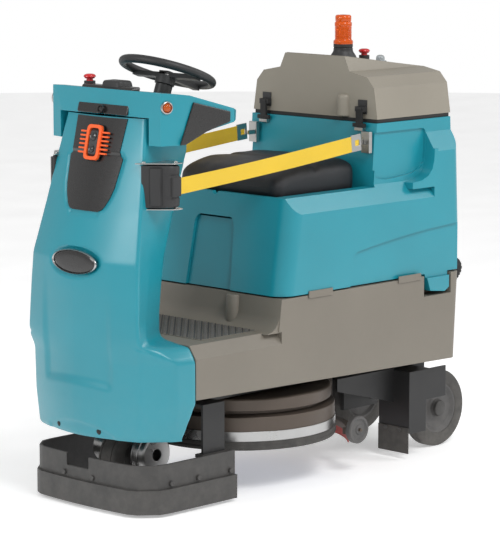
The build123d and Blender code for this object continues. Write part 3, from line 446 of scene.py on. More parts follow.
def carved(bm, cutters, how="DIFFERENCE"):
    """Cuts each cutter's shape out of a mesh, or adds each one to it."""
    block = bpy.data.meshes.new("carving")
    bm.to_mesh(block)
    bm.free()
    work = bpy.data.objects.new("carving", block)
    bpy.context.scene.collection.objects.link(work)
    tools = []
    for cutter in cutters:
        tool_mesh = bpy.data.meshes.new("cutter")
        bmesh.ops.recalc_face_normals(cutter, faces=cutter.faces)
        cutter.to_mesh(tool_mesh)
        cutter.free()
        tool = bpy.data.objects.new("cutter", tool_mesh)
        bpy.context.scene.collection.objects.link(tool)
        modifier = work.modifiers.new("cut", "BOOLEAN")
        modifier.operation = how
        modifier.solver = "EXACT"
        modifier.object = tool
        tools.append(tool)
    bpy.context.view_layer.update()
    result = bmesh.new()
    result.from_mesh(work.evaluated_get(bpy.context.evaluated_depsgraph_get()).to_mesh())
    for spare in tools + [work]:
        bpy.data.objects.remove(spare)
    bmesh.ops.remove_doubles(result, verts=result.verts, dist=0.05 * MM)
    bmesh.ops.dissolve_limit(result, angle_limit=math.radians(0.6), verts=result.verts, edges=result.edges)
    return result


def prism(outline, axis, low, high, taper=0.0):
    """Closed solid: an outline in mm drawn across an axis and pulled from low to high."""
    order = {"X": lambda a, b, h: (h, a, b), "Y": lambda a, b, h: (a, h, b), "Z": lambda a, b, h: (a, b, h)}
    bm = bmesh.new()
    corners = [bm.verts.new(Vector(order[axis](a, b, low)) * MM) for a, b in outline]
    face = bm.faces.new(corners)
    pulled = bmesh.ops.extrude_face_region(bm, geom=[face])["geom"]
    moved = [v for v in pulled if isinstance(v, bmesh.types.BMVert)]
    bmesh.ops.translate(bm, verts=moved, vec=Vector(order[axis](0, 0, high - low)) * MM)
    if taper:
        middle = sum((v.co for v in moved), Vector()) / len(moved)
        for v in moved:
            v.co = middle + (v.co - middle) * (1 - taper)
    bmesh.ops.recalc_face_normals(bm, faces=bm.faces)
    return bm


def rounded(outline, radius, steps=4):
    """An outline with each corner replaced by an arc-like curve."""
    points = []
    count = len(outline)
    for i, corner in enumerate(outline):
        here = Vector(corner)
        before = Vector(outline[i - 1]) - here
        after = Vector(outline[(i + 1) % count]) - here
        a = here + before.normalized() * min(radius, before.length * 0.45)
        b = here + after.normalized() * min(radius, after.length * 0.45)
        for k in range(steps + 1):
            t = k / steps
            points.append(tuple(a.lerp(here, t).lerp(here.lerp(b, t), t)))
    return points


def turned(profile, centre, axis="Z", segments=96):
    """Body of revolution from an open profile of (radius, height) pairs in mm."""
    bm = bmesh.new()
    verts = [bm.verts.new((r * MM, 0, h * MM)) for r, h in profile]
    edges = [bm.edges.new(pair) for pair in zip(verts, verts[1:])]
    bmesh.ops.spin(bm, geom=verts + edges, cent=(0, 0, 0), axis=(0, 0, 1), angle=math.tau,
                   steps=segments, use_merge=True)
    bmesh.ops.remove_doubles(bm, verts=bm.verts, dist=0.01 * MM)
    bmesh.ops.recalc_face_normals(bm, faces=bm.faces)
    turn = {"Z": Matrix(), "Y": Matrix.Rotation(math.radians(-90), 4, "X"),
            "X": Matrix.Rotation(math.radians(90), 4, "Y")}[axis]
    bmesh.ops.transform(bm, matrix=Matrix.Translation(Vector(centre) * MM) @ turn, verts=bm.verts)
    return bm


def joined(*parts):
    """Several bmeshes as one."""
    whole = parts[0]
    for part in parts[1:]:
        mesh = bpy.data.meshes.new("joining")
        part.to_mesh(mesh)
        part.free()
        whole.from_mesh(mesh)
        bpy.data.meshes.remove(mesh)
    return whole


def flipped(bm):
    """The mirror image on the driver's right."""
    for v in bm.verts:
        v.co.y = -v.co.y
    bmesh.ops.reverse_faces(bm, faces=bm.faces)
    return bm


def between(table, z):
    """Row of a table of levels at a height, straight between its rows."""
    if z <= table[0][0]:
        return table[0][1:]
    for low, high in zip(table, table[1:]):
        if z <= high[0]:
            t = (z - low[0]) / (high[0] - low[0])
            return tuple(a + (b - a) * t for a, b in zip(low[1:], high[1:]))
    return table[-1][1:]


def smooth_step(low, high, value):
    t = min(1.0, max(0.0, (value - low) / (high - low)))
    return t * t * (3 - 2 * t)


# ---------------------------------------------------------------- front shroud
# Height, nose x, corner x, corner y, shoulder x, shoulder y, rear x, rear y.
SHROUD_LEVELS = [
    (224, 764, 712, 214, 640, 280, 612, 292),
    (230, 769, 716, 218, 642, 284, 611, 294),
    (330, 777, 722, 226, 644, 300, 572, 310),
    (455, 778, 724, 228, 646, 301, 572, 310),
    (468, 778, 726, 231, 655, 297, 572, 304),
    (486, 778, 730, 238, 672, 278, 572, 291),
    (500, 778, 733, 241, 684, 262, 571, 281),
    (505, 778, 734, 241, 688, 250, 569, 220),
    (511, 778, 735, 241, 690, 240, 567, 160),
    (530, 778, 736, 240, 690, 226, 565, 150),
    (580, 778, 735, 237, 680, 212, 563, 148),
    (660, 777, 731, 234, 660, 203, 557, 150),
    (745, 774, 726, 230, 648, 198, 549, 154),
    (890, 731, 693, 208, 622, 190, 521, 168),
    (1060, 683, 656, 184, 590, 188, 482, 183),
    (1160, 653, 636, 167, 570, 182, 479, 183),
]
MASK_TOP = 1160
BADGE_Z = 740


def shroud_outline(z):
    """Half outline of the shroud at a height, from the middle of the nose round to the back."""
    nose, corner_x, corner_y, side_x, side_y, rear_x, rear_y = between(SHROUD_LEVELS, z)
    front = [(nose - (nose - corner_x) * (k / 12) ** 1.75, corner_y * k / 12) for k in range(13)]
    return front + [(side_x, side_y), (rear_x, rear_y), (rear_x, rear_y * 0.8), (rear_x, 0)]


def along(points, distances):
    """Points at these distances along an open outline."""
    found = []
    start, i = 0.0, 0
    for distance in distances:
        while i < len(points) - 2 and start + math.dist(points[i], points[i + 1]) < distance:
            start += math.dist(points[i], points[i + 1])
            i += 1
        length = math.dist(points[i], points[i + 1]) or 1.0
        found.append(Vector(points[i]).lerp(Vector(points[i + 1]), min(1.0, (distance - start) / length)))
    return found


PANEL_WIDTHS = [(888, 52), (890, 62), (894, 70), (902, 78), (930, 93), (958, 102), (1036, 112), (1042, 112),
                (1050, 103), (1066, 101), (1110, 104), (1157, 107)]


def u_panel_depth(y, z):
    """How far the panel on the lower front lies below the nose, as a share of its full depth."""
    side = 1 - smooth_step(0, 1, (abs(y) - 123) / 31)
    foot = smooth_step(0, 1, (z - 374 + 0.0006 * y * y) / 34)
    head = 1 - smooth_step(0, 1, (z - 470) / 260)
    return side * foot * head


def panel_seat_depth(y, z):
    """Shallow seat that the sensor panel's lower pad lies in."""
    width = between(PANEL_WIDTHS, z)[0]
    foot = smooth_step(0, 1, (z - 868) / 12)
    return foot * (1 - smooth_step(0, 1, (abs(y) - width - 5) / 9)) * (1 - smooth_step(1050, 1062, z))


def toe_depth(y, z):
    """Band along the bottom edge that lies back under a shallow arch."""
    arch = 262 - 0.0016 * y * y
    return (1 - smooth_step(0, 1, (z - arch) / 10)) * (1 - smooth_step(130, 150, abs(y)))


def badge_depth(y, z):
    ring = math.hypot(y / 106, (z - BADGE_Z) / 44)
    return 1 - smooth_step(0.86, 1.08, ring)


def shroud_mesh():
    columns, rows = 110, 190
    bm = bmesh.new()
    bmesh.ops.create_grid(bm, x_segments=columns, y_segments=rows, size=0.5)
    bm.verts.ensure_lookup_table()
    low, high = SHROUD_LEVELS[0][0], MASK_TOP
    places = {}
    for v in bm.verts:
        places.setdefault(round((v.co.y + 0.5) * rows), []).append(v)
    for row, verts in places.items():
        z = low + (high - low) * row / rows
        outline = shroud_outline(z)
        total = sum(math.dist(a, b) for a, b in zip(outline, outline[1:]))
        verts.sort(key=lambda v: v.co.x)
        steps = [total * k / columns for k in range(columns + 1)]
        for v, place in zip(verts, along(outline, steps)):
            v.co = (place.x, place.y, z)
    open_rows = {v for row in (0, rows) for v in places[row]}
    for _ in range(3):
        inner = [v for v in bm.verts if v not in open_rows and v.co.y > 0.5]
        bmesh.ops.smooth_vert(bm, verts=inner, factor=0.5, use_axis_x=True, use_axis_y=True, use_axis_z=True)
    for v in bm.verts:
        if v.co.x > 600:
            dip = 7 * u_panel_depth(v.co.y, v.co.z) + 9 * badge_depth(v.co.y, v.co.z)
            dip += 5 * panel_seat_depth(v.co.y, v.co.z) + 5 * toe_depth(v.co.y, v.co.z)
            v.co.x -= dip
        if v.co.y < 0.5:
            v.co.y = 0
    behind = [f for f in bm.faces if f.calc_center_median().z < 488 and f.calc_center_median().y < 262
              and f.calc_center_median().x < 620]
    bmesh.ops.delete(bm, geom=behind, context="FACES")
    bmesh.ops.scale(bm, vec=(MM, MM, MM), verts=bm.verts)
    geom = bm.verts[:] + bm.edges[:] + bm.faces[:]
    bmesh.ops.mirror(bm, geom=geom, axis="Y", merge_dist=0.1 * MM)
    bmesh.ops.recalc_face_normals(bm, faces=bm.faces)
    return bm


def front_shroud():
    bm = shroud_mesh()
    tree = BVHTree.FromBMesh(bm)
    for y in (-85, 85):
        spot = surface_point(tree, y, 245)
        # The bolt heads are drawn in the flat near-black painted-shade material, not in zinc: painted shade.
        bolt = turned([(0, 2.5), (4, 2.2), (7, 0.5), (9, -1), (10.5, -1.2), (10.5, -5), (0, -5)],
                      (spot.x / MM, y, 245), "X", 28)
        finish_piece(f"nose_bolt_{'left' if y > 0 else 'right'}", bolt, "machine", "zinc_steel", "dark_gap")
    finish_piece("front_shroud_skin", bm, "machine", "teal_plastic", None, ["front_shroud"], 60,
                 [("SOLIDIFY", {"thickness": 5 * MM, "offset": -1, "use_even_offset": False}),
                  soft_edges(1.5, 2, 50)])
    return tree


def surface_point(tree, y, z):
    """Where the shroud's front is at this y and z, in metres."""
    hit = tree.ray_cast(Vector((1.2, y * MM, z * MM)), Vector((-1, 0, 0)))[0]
    return hit or Vector((0.65, y * MM, z * MM))


def draped_panel(tree, table, rows, columns, proud, thick):
    """Panel that follows the shroud: a table gives its half width at each height, in mm."""
    bm = bmesh.new()
    bmesh.ops.create_grid(bm, x_segments=columns, y_segments=rows, size=0.5)
    low, high = table[0][0], table[-1][0]
    for v in bm.verts:
        z = low + (high - low) * (v.co.y + 0.5)
        y = 2 * v.co.x * between(table, z)[0]
        spot = surface_point(tree, y, z)
        v.co = (spot.x + proud * MM, spot.y, spot.z)
    bmesh.ops.recalc_face_normals(bm, faces=bm.faces)
    if bm.faces[:][0].normal.x < 0:
        bmesh.ops.reverse_faces(bm, faces=bm.faces)
    return bm, [("SOLIDIFY", {"thickness": thick * MM, "offset": -1}), soft_edges(1.6, 3, 40)]


def sensor_panel(tree):
    bm, finishing = draped_panel(tree, PANEL_WIDTHS, 110, 60, 3.2, 6)
    finish_piece("sensor_panel_lower", bm, "machine", "black_gloss", None, ["sensor_panel"], 40, finishing)
    brow = prism(rounded([(-108, 1166), (108, 1166), (111, 1247), (-111, 1247)], 8), "X", 590, 662)
    slope = Vector((0.24, 0, 0.06)).normalized()
    front = Vector((0.6545, 0, 1.166))
    for plane, at in ((Vector((0.955, 0, 0.297)), front), (-Vector((0.955, 0, 0.297)), front - slope * 0.03)):
        cut = bmesh.ops.bisect_plane(brow, geom=brow.verts[:] + brow.edges[:] + brow.faces[:],
                                     plane_co=at, plane_no=plane, clear_outer=True)["geom_cut"]
        bmesh.ops.holes_fill(brow, edges=[e for e in cut if isinstance(e, bmesh.types.BMEdge)], sides=0)
    finish_piece("sensor_panel_brow", brow, "machine", "black_gloss", None, [], 35, [soft_edges(4, 3)])


def rounded_frame(width, height, radius, border):
    """Outline of a rounded rectangle and of the hole in it."""
    a, b = width / 2, height / 2
    outer = [(-a, -b), (a, -b), (a, b), (-a, b)]
    inner = [(y * (1 - border / a), z * (1 - border / b)) for y, z in outer]
    return rounded(outer, radius, 6), rounded(inner, radius * 0.7, 6)


def leaning(bm, tree, z, proud):
    """Lays a piece drawn flat in the YZ plane on the shroud at a height."""
    low, high = surface_point(tree, 0, z - 30), surface_point(tree, 0, z + 30)
    tilt = math.atan2(low.x - high.x, high.z - low.z)
    middle = surface_point(tree, 0, z)
    place = Matrix.Translation(Vector((middle.x + proud * MM, 0, z * MM))) @ Matrix.Rotation(-tilt, 4, "Y")
    bmesh.ops.transform(bm, matrix=place, verts=bm.verts)
    return bm


def ring_between(outer, inner, low, high):
    """Frame pulled between two heights from an outline and the hole in it."""
    bm = bmesh.new()
    loops = []
    for outline in (outer, inner):
        verts = [bm.verts.new((low * MM, a * MM, b * MM)) for a, b in outline]
        loops.append([bm.edges.new((verts[i - 1], verts[i])) for i in range(len(verts))])
    bmesh.ops.bridge_loops(bm, edges=loops[0] + loops[1])
    pulled = bmesh.ops.extrude_face_region(bm, geom=bm.faces[:])["geom"]
    bmesh.ops.translate(bm, verts=[v for v in pulled if isinstance(v, bmesh.types.BMVert)],
                        vec=((high - low) * MM, 0, 0))
    bmesh.ops.recalc_face_normals(bm, faces=bm.faces)
    return bm


def sensor(tree):
    outer, inner = rounded_frame(62, 104, 16, 10)
    ring = leaning(ring_between(outer, inner, 2, 12), tree, 1083, 3)
    fins = []
    for side in (-1, 1):
        for step in range(6):
            z = 31 - 12.4 * step
            fin = prism(rounded([(side * 29, z - 2.6), (side * 60, z - 2.6), (side * 60, z + 2.6),
                                 (side * 29, z + 2.6)], 2.2, 3), "X", 2, 9, 0.04)
            fins.append(leaning(fin, tree, 1083, 3))
    finish_piece("sensor_ring_skin", joined(ring, *fins), "machine", "orange", None, ["sensor_ring"], 35,
                 [soft_edges(1.8, 3)])
    # Thin near-black plate under the ring, a little wider than it: painted shade round the ring's edge and
    # behind the glass.
    shade_plate = leaning(prism(rounded(rounded_frame(66, 108, 16, 8)[0], 2, 1), "X", 0, 3.4), tree, 1083, 3)
    finish_piece("sensor_shade_plate", shade_plate, "machine", "black_gloss", "dark_gap", [], 35, [soft_edges(1, 2)])
    glass = leaning(prism(inner, "X", 1, 10.5, 0.22), tree, 1083, 3)
    finish_piece("sensor_glass_skin", glass, "machine", "clear", "pod_grey", ["sensor_glass"], 35,
                 [soft_edges(3.2, 4)])
    for z, radius in ((18, 11.5), (-20, 9)):
        eye = turned([(0, 3), (radius * 0.6, 2.4), (radius, 0), (radius + 2, 0.8), (radius + 2.6, -2),
                      (0, -2)],
                     (0, 0, 0), "X", 32)
        bmesh.ops.translate(eye, vec=(11.5 * MM, 0, z * MM), verts=eye.verts)
        finish_piece(f"sensor_eye_{'upper' if z > 0 else 'lower'}", leaning(eye, tree, 1083, 3),
                     "machine", "clear", "black_gloss", [], 35)


def badge(tree):
    """Blank oval badge: a bright rim round a dark domed plate."""
    spot = surface_point(tree, 0, BADGE_Z)
    front = spot.x / MM
    for name, profile, slot in (
        ("badge_rim", [(0.92, 0), (0.93, 5), (0.965, 7.5), (1.0, 5), (1.01, 0)], "band_alloy"),
        ("badge_plate", [(0, 5.5), (0.5, 5.2), (0.8, 4.4), (0.9, 3.2), (0.935, 0.5)], "black_gloss"),
    ):
        bm = bmesh.new()
        verts = [bm.verts.new((h * MM, 0, r * 96 * MM)) for r, h in profile]
        edges = [bm.edges.new(pair) for pair in zip(verts, verts[1:])]
        bmesh.ops.spin(bm, geom=verts + edges, cent=(0, 0, 0), axis=(1, 0, 0), angle=math.tau, steps=96,
                       use_merge=True)
        bmesh.ops.remove_doubles(bm, verts=bm.verts, dist=0.01 * MM)
        for v in bm.verts:
            v.co.z *= 0.375
            v.co.x -= 0.00022 * (v.co.y / MM) ** 2 * MM
            v.co += Vector((front * MM, 0, BADGE_Z * MM))
        bmesh.ops.recalc_face_normals(bm, faces=bm.faces)
        is_rim = name == "badge_rim"
        shell = [("SOLIDIFY", {"thickness": 1.5 * MM, "offset": -1})] if is_rim else []
        finish_piece(name, bm, "machine", "black_gloss", slot, [] if is_rim else ["blank_badge"], 50, shell)


# ---------------------------------------------------------------- console
def hood_shape(x, y, z):
    """Brings the hood's front corners forward and out."""
    pull = smooth_step(160, 225, abs(y)) * smooth_step(560, 604, x)
    return x + 30 * pull, y + math.copysign(5 * pull, y), z


def console():
    softened("console_hood", 7, segments=4, warp=hood_shape)
    hump_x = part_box("camera_housing")[1].x / MM - 32
    hump = prism(rounded([(hump_x - 60, -34), (hump_x, -30), (hump_x, 54), (hump_x - 60, 58)], 16), "Z",
                 1238, 1262, 0.12)
    finish_piece("camera_hump", hump, "machine", "black_gloss", "black_plastic", ["camera_housing"], 35,
                 [soft_edges(7, 4)])
    lens = turned([(0, 5), (5, 4.4), (7.5, 2), (9, 2), (10, 5.5), (12.5, 5.5), (13.5, 0), (13.5, -4),
                   (0, -4)], (0, 0, 0), "X", 40)
    place = Matrix.Translation((0.6545, 0, 1.180)) @ Matrix.Rotation(math.radians(-17.3), 4, "Y")
    bmesh.ops.transform(lens, matrix=place, verts=lens.verts)
    finish_piece("front_camera_eye", lens, "machine", "black_gloss", None, [], 35)
    for side, name in ((1, "left"), (-1, "right")):
        turn = Matrix.Rotation(math.radians(72), 4, "Z")
        lamp = turned([(0, 9), (6, 8.4), (11, 5.5), (13, 1), (13.5, -3), (0, -3)], (0, 0, 0), "X", 36)
        bezel = turned([(13.8, 2), (15.5, 4), (18, 3), (19, 0), (19, -5), (13.8, -5), (13.8, 2)],
                       (0, 0, 0), "X", 36)
        for bm, label, slot, nodes in ((lamp, "lamp", "amber", ["side_lamps"] if side > 0 else []),
                                       (bezel, "lamp_bezel", "band_alloy", [])):
            bmesh.ops.transform(bm, matrix=Matrix.Translation((0.619, 0.2405, 1.196)) @ turn, verts=bm.verts)
            if side < 0:
                flipped(bm)
            finish_piece(f"{label}_{name}", bm, "machine", slot if label == "lamp" else "zinc_steel", slot,
                         nodes, 40)


def steering():
    softened("steering_rim", 0, sharp=60)
    softened("steering_wheel", 2.2, segments=3, sharp=28)
    softened("steering_column", 1.5)


# ---------------------------------------------------------------- tanks
def stripe_cutter():
    """Step along the tank's side: everything below and behind the line lies deeper."""
    line = [(-91, 590), (-97, 660), (-104, 690), (-122, 708), (-200, 720), (-322, 735), (-460, 748),
            (-640, 758), (-640, 590)]
    return prism(line, "Y", 301, 330)


def side_panel_cutter():
    """Shallow panel in the tower's side."""
    outline = [(-232, 1064), (-246, 922), (-300, 914), (-426, 924), (-480, 952), (-484, 1064)]
    return prism(rounded(outline, 18), "Y", 262, 300)


def tanks():
    cutters = []
    for side in (1, -1):
        for cutter in (stripe_cutter(), side_panel_cutter()):
            cutters.append(cutter if side > 0 else flipped(cutter))
    front_outline = [(-104, 590), (91, 590), (78, 800), (66, 822), (-78, 822), (-92, 800)]
    front = prism(rounded(front_outline, 10), "X", -10, 50)
    for v in front.verts:
        v.co.x += (212 - (v.co.z / MM - 603) * 44 / 292) * MM
    cutters.append(front)
    cutters.append(turned([(0, 0), (12, 0), (12, 60), (0, 60)], (150, -17, 897), "X", 24))
    fillers = []
    for side in (1, -1):
        scoop = prism([(-380, 900), (-425, 905), (-455, 917), (-473, 936), (-482, 965), (-484, 1000),
                       (-500, 1000), (-500, 880), (-380, 880)], "Y", 262, 310)
        lug = prism([(-446, 612), (-470, 548), (-540, 540), (-560, 552), (-560, 612)], "Y", 283, 309)
        for filler in (scoop, lug):
            fillers.append(filler if side > 0 else flipped(filler))
    softened("recovery_tank", 4.5, segments=4, cutters=cutters, fillers=fillers)
    boss = turned([(0, 90), (22, 90), (24, 86), (26, 0), (0, 0)], (212, 108, 504), "Z", 40)
    finish_piece("riser_boss", boss, "machine", "grey_plastic", None, [], 35, [soft_edges(3, 3)])
    toe = prism([(208, 497), (274, 498), (252, 503), (236, 512), (225, 526), (218, 545), (210, 568),
                 (205, 568)], "Y", -306, 306)
    softened("base_tank", 5, segments=4, fillers=[toe])
    base = prism(rounded([(248, -248), (486, -248), (486, 248), (248, 248)], 18), "Z", 500.2, 501.6)
    studs = []
    stretch = Matrix.Diagonal((1.5, 0.6, 1, 1))
    for row in range(16):
        for k in range(33):
            stud = bmesh.new()
            bmesh.ops.create_cone(stud, cap_ends=True, segments=10, radius1=5.4 * MM, radius2=4 * MM,
                                  depth=2 * MM)
            turn = Matrix.Rotation(math.radians(35 if (row + k) % 2 else -35), 4, "Z") @ stretch
            place = Matrix.Translation(Vector((258 + 14.5 * row, -232 + 14.5 * k, 502.2)) * MM)
            bmesh.ops.transform(stud, matrix=place @ turn, verts=stud.verts)
            studs.append(stud)
    finish_piece("tread_plate", base, "machine", "grey_plastic", None, ["platform_tread"], 30)
    # The studs are a much darker grey than the plate; this dark is painted shade standing for the shaded
    # dimples of the tread.
    finish_piece("tread_studs", joined(*studs), "machine", "grey_plastic", "pod_grey", [], 30)
    softened("recovery_lid", 11, segments=4)
    bump = turned([(0, 70), (18, 68), (23, 60), (25, 0), (0, 0)], (-262, 126, 1107), "Z", 36)
    finish_piece("lid_front_boss", bump, "lid", "lid_plastic", None, [], 35, [soft_edges(4, 3)])


def seat():
    """Moulded seat cushion with a crease across it."""
    low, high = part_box("seat_pad")
    bm = bmesh.new()
    bmesh.ops.create_cube(bm, size=1)
    size = high - low
    bmesh.ops.scale(bm, vec=(size.x - 0.012, size.y - 0.012, size.z - 0.012), verts=bm.verts)
    bmesh.ops.translate(bm, vec=(low + high) / 2 + Vector((0, 0, -0.005)), verts=bm.verts)
    bmesh.ops.bevel(bm, geom=[e for e in bm.edges if e.calc_face_angle(0) > 1], offset=0.03, segments=4,
                    affect="EDGES", profile=0.5, material=-1)
    mesh = bpy.data.meshes.new("seat_form")
    bm.to_mesh(mesh)
    bm.free()
    form = bpy.data.objects.new("seat_form", mesh)
    bpy.context.scene.collection.objects.link(form)
    remesh = form.modifiers.new("remesh", "REMESH")
    remesh.mode = "VOXEL"
    remesh.voxel_size = 0.008
    bpy.context.view_layer.update()
    start = bpy.data.meshes.new_from_object(form.evaluated_get(bpy.context.evaluated_depsgraph_get()))
    form.modifiers.clear()
    form.data = start
    before = [v.co.copy() for v in start.vertices]
    cloth = form.modifiers.new("cloth", "CLOTH")
    cloth.settings.use_pressure = True
    cloth.settings.uniform_pressure_force = 4
    cloth.settings.effector_weights.gravity = 0
    for step in range(1, 21):
        bpy.context.scene.frame_set(step)
    swollen = bpy.data.meshes.new_from_object(form.evaluated_get(bpy.context.evaluated_depsgraph_get()))
    after = [v.co.copy() for v in swollen.vertices]
    form.modifiers.clear()
    bm = bmesh.new()
    bm.from_mesh(start)
    bm.verts.ensure_lookup_table()
    middle = (low + high) / 2
    for v, old, new in zip(bm.verts, before, after):
        move = new - old
        cap = 0.009
        v.co = old + move * min(1.0, cap / max(move.length, 1e-6))
        across = abs(v.co.x + 0.046)
        crown = 1 - ((v.co.y - middle.y) / (size.y / 2)) ** 2
        if v.co.z > middle.z:
            rise = 0.006 * max(0, crown) * (1 - smooth_step(-0.05, 0.16, v.co.x))
            v.co.z += rise - 0.007 * math.exp(-(across / 0.012) ** 2)
            v.co.z -= 0.020 * smooth_step(0.02, 0.15, v.co.x)
        v.co.z += 0.0012 * noise(v.co * 22)
    bmesh.ops.smooth_vert(bm, verts=bm.verts, factor=0.5, use_axis_x=True, use_axis_y=True, use_axis_z=True)
    bpy.data.objects.remove(form)
    pad = finish_piece("seat_cushion", bm, "machine", "seat_vinyl", None, ["seat_pad"], 180,
                       [("SUBSURF", {"levels": 1, "render_levels": 1})])


# ---------------------------------------------------------------- belts
def belts():
    """Woven belts with a slight twist and sag, each reaching over its tongue."""
    for side, name in ((1, "left"), (-1, "right")):
        low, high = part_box("belt_web_left")
        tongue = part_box("belt_tongue_left")
        bm = bmesh.new()
        bmesh.ops.create_grid(bm, x_segments=90, y_segments=8, size=0.5)
        start = Vector((high.x - 0.011, high.y - 0.0012, low.z + 0.0245))
        end = Vector((tongue[0].x + 0.012, (tongue[0].y + tongue[1].y) / 2, (tongue[0].z + tongue[1].z) / 2))
        up = Vector((0, 0, 1))
        for v in bm.verts:
            t, s = v.co.x + 0.5, v.co.y
            middle = start.lerp(end, t)
            sag = -0.004 * math.sin(math.pi * t)
            lean = 0.0016 * math.sin(2 * math.pi * t) * (2 * s)
            v.co = middle + up * (s * 0.048 + sag) + Vector((0, lean, 0))
        if side < 0:
            flipped(bm)
        finish_piece(f"belt_{name}", bm, f"{name}_belt", "belt_webbing", None, [f"belt_web_{name}"], 60,
                     [("SOLIDIFY", {"thickness": 2.2 * MM, "offset": 0}), soft_edges(0.7, 2, 50)])
    reels()


def reels():
    """Belt reels in their cases, each between two plates bolted to the shroud."""
    radius = 32
    for side, name in ((1, "left"), (-1, "right")):
        plates = []
        for z in (1033, 900):
            plates.append(prism(rounded([(690, 172), (608, 262), (574, 264), (556, 190)], 12), "Z", z, z + 3))
            for x, y in ((664, 190), (590, 246)):
                plates.append(turned([(0, 6), (4, 5), (6, 3), (6.5, 0), (0, 0)], (x, y, z + 3), "Z", 20))
        body = joined(*plates)
        if side < 0:
            flipped(body)
        finish_piece(f"reel_plates_{name}", body, "machine", "zinc_steel", None,
                     ["reel_brackets"] if side > 0 else [], 32, [soft_edges(0.8, 2)])
    for side, name in ((1, "left"), (-1, "right")):
        can = turned([(0, 61), (radius - 9, 61), (radius - 3, 59), (radius - 1, 55), (radius - 1, 36),
                      (radius - 2.2, 34), (radius - 2.2, 30), (radius - 0.6, 28), (radius - 0.6, -28),
                      (radius - 2.2, -30), (radius - 2.2, -34), (radius - 1, -36), (radius - 1, -55),
                      (radius - 3, -59), (radius - 9, -61), (0, -61)], (600, 228, 968), "Z", 64)
        mouth = prism(rounded([(584, 250), (618, 250), (618, 264.5), (584, 264.5)], 3), "Z", 940, 996)
        case = [(606, 196), (662, 184), (678, 190), (642, 226), (620, 250), (606, 258)]
        housing = prism(rounded(case, 9, 5), "Z", 907, 1029)
        rib = prism(rounded([(628, 236), (646, 236), (662, 212), (652, 206)], 3), "Z", 914, 1022)
        body = joined(can, mouth, housing, rib)
        if side < 0:
            flipped(body)
        finish_piece(f"belt_reel_{name}", body, "machine", "black_plastic", None,
                     ["belt_reels"] if side > 0 else [], 32, [soft_edges(1.5, 2)])


# ---------------------------------------------------------------- wheels
def tyre_profile(radius, rim, width):
    """Outline of a solid tyre's section with a shallow groove near each shoulder."""
    half = width / 2
    side = [(rim, -half + 2), (rim + 6, -half), (radius - 12, -half + 0.5), (radius - 4, -half + 4),
            (radius - 0.5, -half + 9), (radius, -half + 13), (radius, -half + 15), (radius - 2, -half + 16),
            (radius - 2, -half + 18), (radius, -half + 19)]
    return side + [(r, -h) for r, h in reversed(side)]


def wheel(name, centre, radius, rim, width, body, nodes, axis_side=1):
    tyre = turned(tyre_profile(radius, rim, width), centre, "Y", 120)
    half = width / 2
    dish = [(11, half - 2), (26, half - 2), (28, half - 5), (29, half - 12), (34, half - 15),
            (rim - 16, half - 13),
            (rim - 9, half - 7), (rim - 5, half - 3), (rim + 0.5, half - 2.5), (rim + 0.5, 2 - half),
            (rim - 6, 4 - half), (rim - 12, 14 - half), (34, 16 - half), (28, 10 - half), (11, 8 - half),
            (11, half - 2)]
    hub = turned([(r, h * axis_side) for r, h in dish], centre, "Y", 96)
    finish_piece(f"{name}_tyre", tyre, body, "tyre_rubber", None, nodes, 40)
    finish_piece(f"{name}_hub", hub, body, "tyre_rubber", "hub_plastic", [], 35,
                 [soft_edges(1.6, 2)])
    cap = turned([(0, 9), (20, 8.5), (25, 6), (27, 1), (27, -8), (0, -8)],
                 (centre[0], centre[1] + axis_side * (half - 1), centre[2]), "Y", 32)
    if axis_side < 0:
        for v in cap.verts:
            v.co.y = 2 * (centre[1] - half + 1) * MM - v.co.y
        bmesh.ops.reverse_faces(cap, faces=cap.faces)
    finish_piece(f"{name}_cap", cap, body, "black_plastic", None, [], 35)


def running_gear():
    wheel("rear_left", (-654, 168, 126), 126, 82, 52, "left_wheel", ["rear_wheel_left"], 1)
    wheel("rear_right", (-654, -168, 126), 126, 82, 52, "right_wheel", ["rear_wheel_right"], -1)
    wheel("drive", (535, 0, 115), 115, 76, 78, "front_wheel", ["drive_wheel"], 1)
    for side, name in ((1, "left"), (-1, "right")):
        roller = turned([(5.2, 11), (14, 11), (16, 8), (30, 7), (34, 11), (41, 11), (44, 7), (44, -7),
                         (41, -11),
                         (34, -11), (30, -7), (16, -8), (14, -11), (5.2, -11), (5.2, 11)],
                        (-160, side * 279, 142), "Y", 64)
        finish_piece(f"roller_{name}", roller, f"{name}_roller", "rubber", "hub_plastic",
                     [f"squeegee_roller_{name}"], 35)


# ---------------------------------------------------------------- beacon and stops
def beacon():
    low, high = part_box("beacon_base")
    x, z = (low.x + high.x) / 2 / MM, high.z / MM
    base = turned([(0, 0), (31, 0), (31, -10), (29, -12), (31, -14), (31, -20), (33, -26), (41, -38),
                   (44, -46),
                   (44, -52), (0, -52)], (x, 0, z), "Z", 72)
    finish_piece("beacon_foot", base, "lid", "black_plastic", None, ["beacon_base"], 30, [soft_edges(1, 2)])
    rings = [(0, 0.3), (31, 0.3), (31.5, 6), (30.5, 11), (28, 12)]
    for k in range(10):
        rings += [(27.2, 14 + 4.2 * k), (26.0, 16.1 + 4.2 * k)]
    rings += [(27.5, 57), (27.5, 67), (24, 71), (25.5, 73), (25.5, 88), (22, 92), (0, 93.5)]
    lens = turned(rings, (x, 0, z), "Z", 72)
    finish_piece("beacon_shade", lens, "lid", "amber", None, ["beacon_lens"], 50)
    for name, body in (("front_stop", "front_stop"), ("rear_stop", "rear_stop")):
        low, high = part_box(f"{name}_button")
        cx, cy, top = (low.x + high.x) / 2 / MM, (low.y + high.y) / 2 / MM, high.z / MM
        head = turned([(0, 0), (9, -0.6), (15, -2.6), (18, -6), (18.4, -9), (16, -11), (14.5, -14),
                       (10, -14.2),
                       (9.9, -26), (0, -26)], (cx, cy, top), "Z", 48)
        finish_piece(f"{name}_head", head, body, "red_plastic", None, [f"{name}_button"], 35)
        softened(f"{name}_base", 1.2, segments=2)


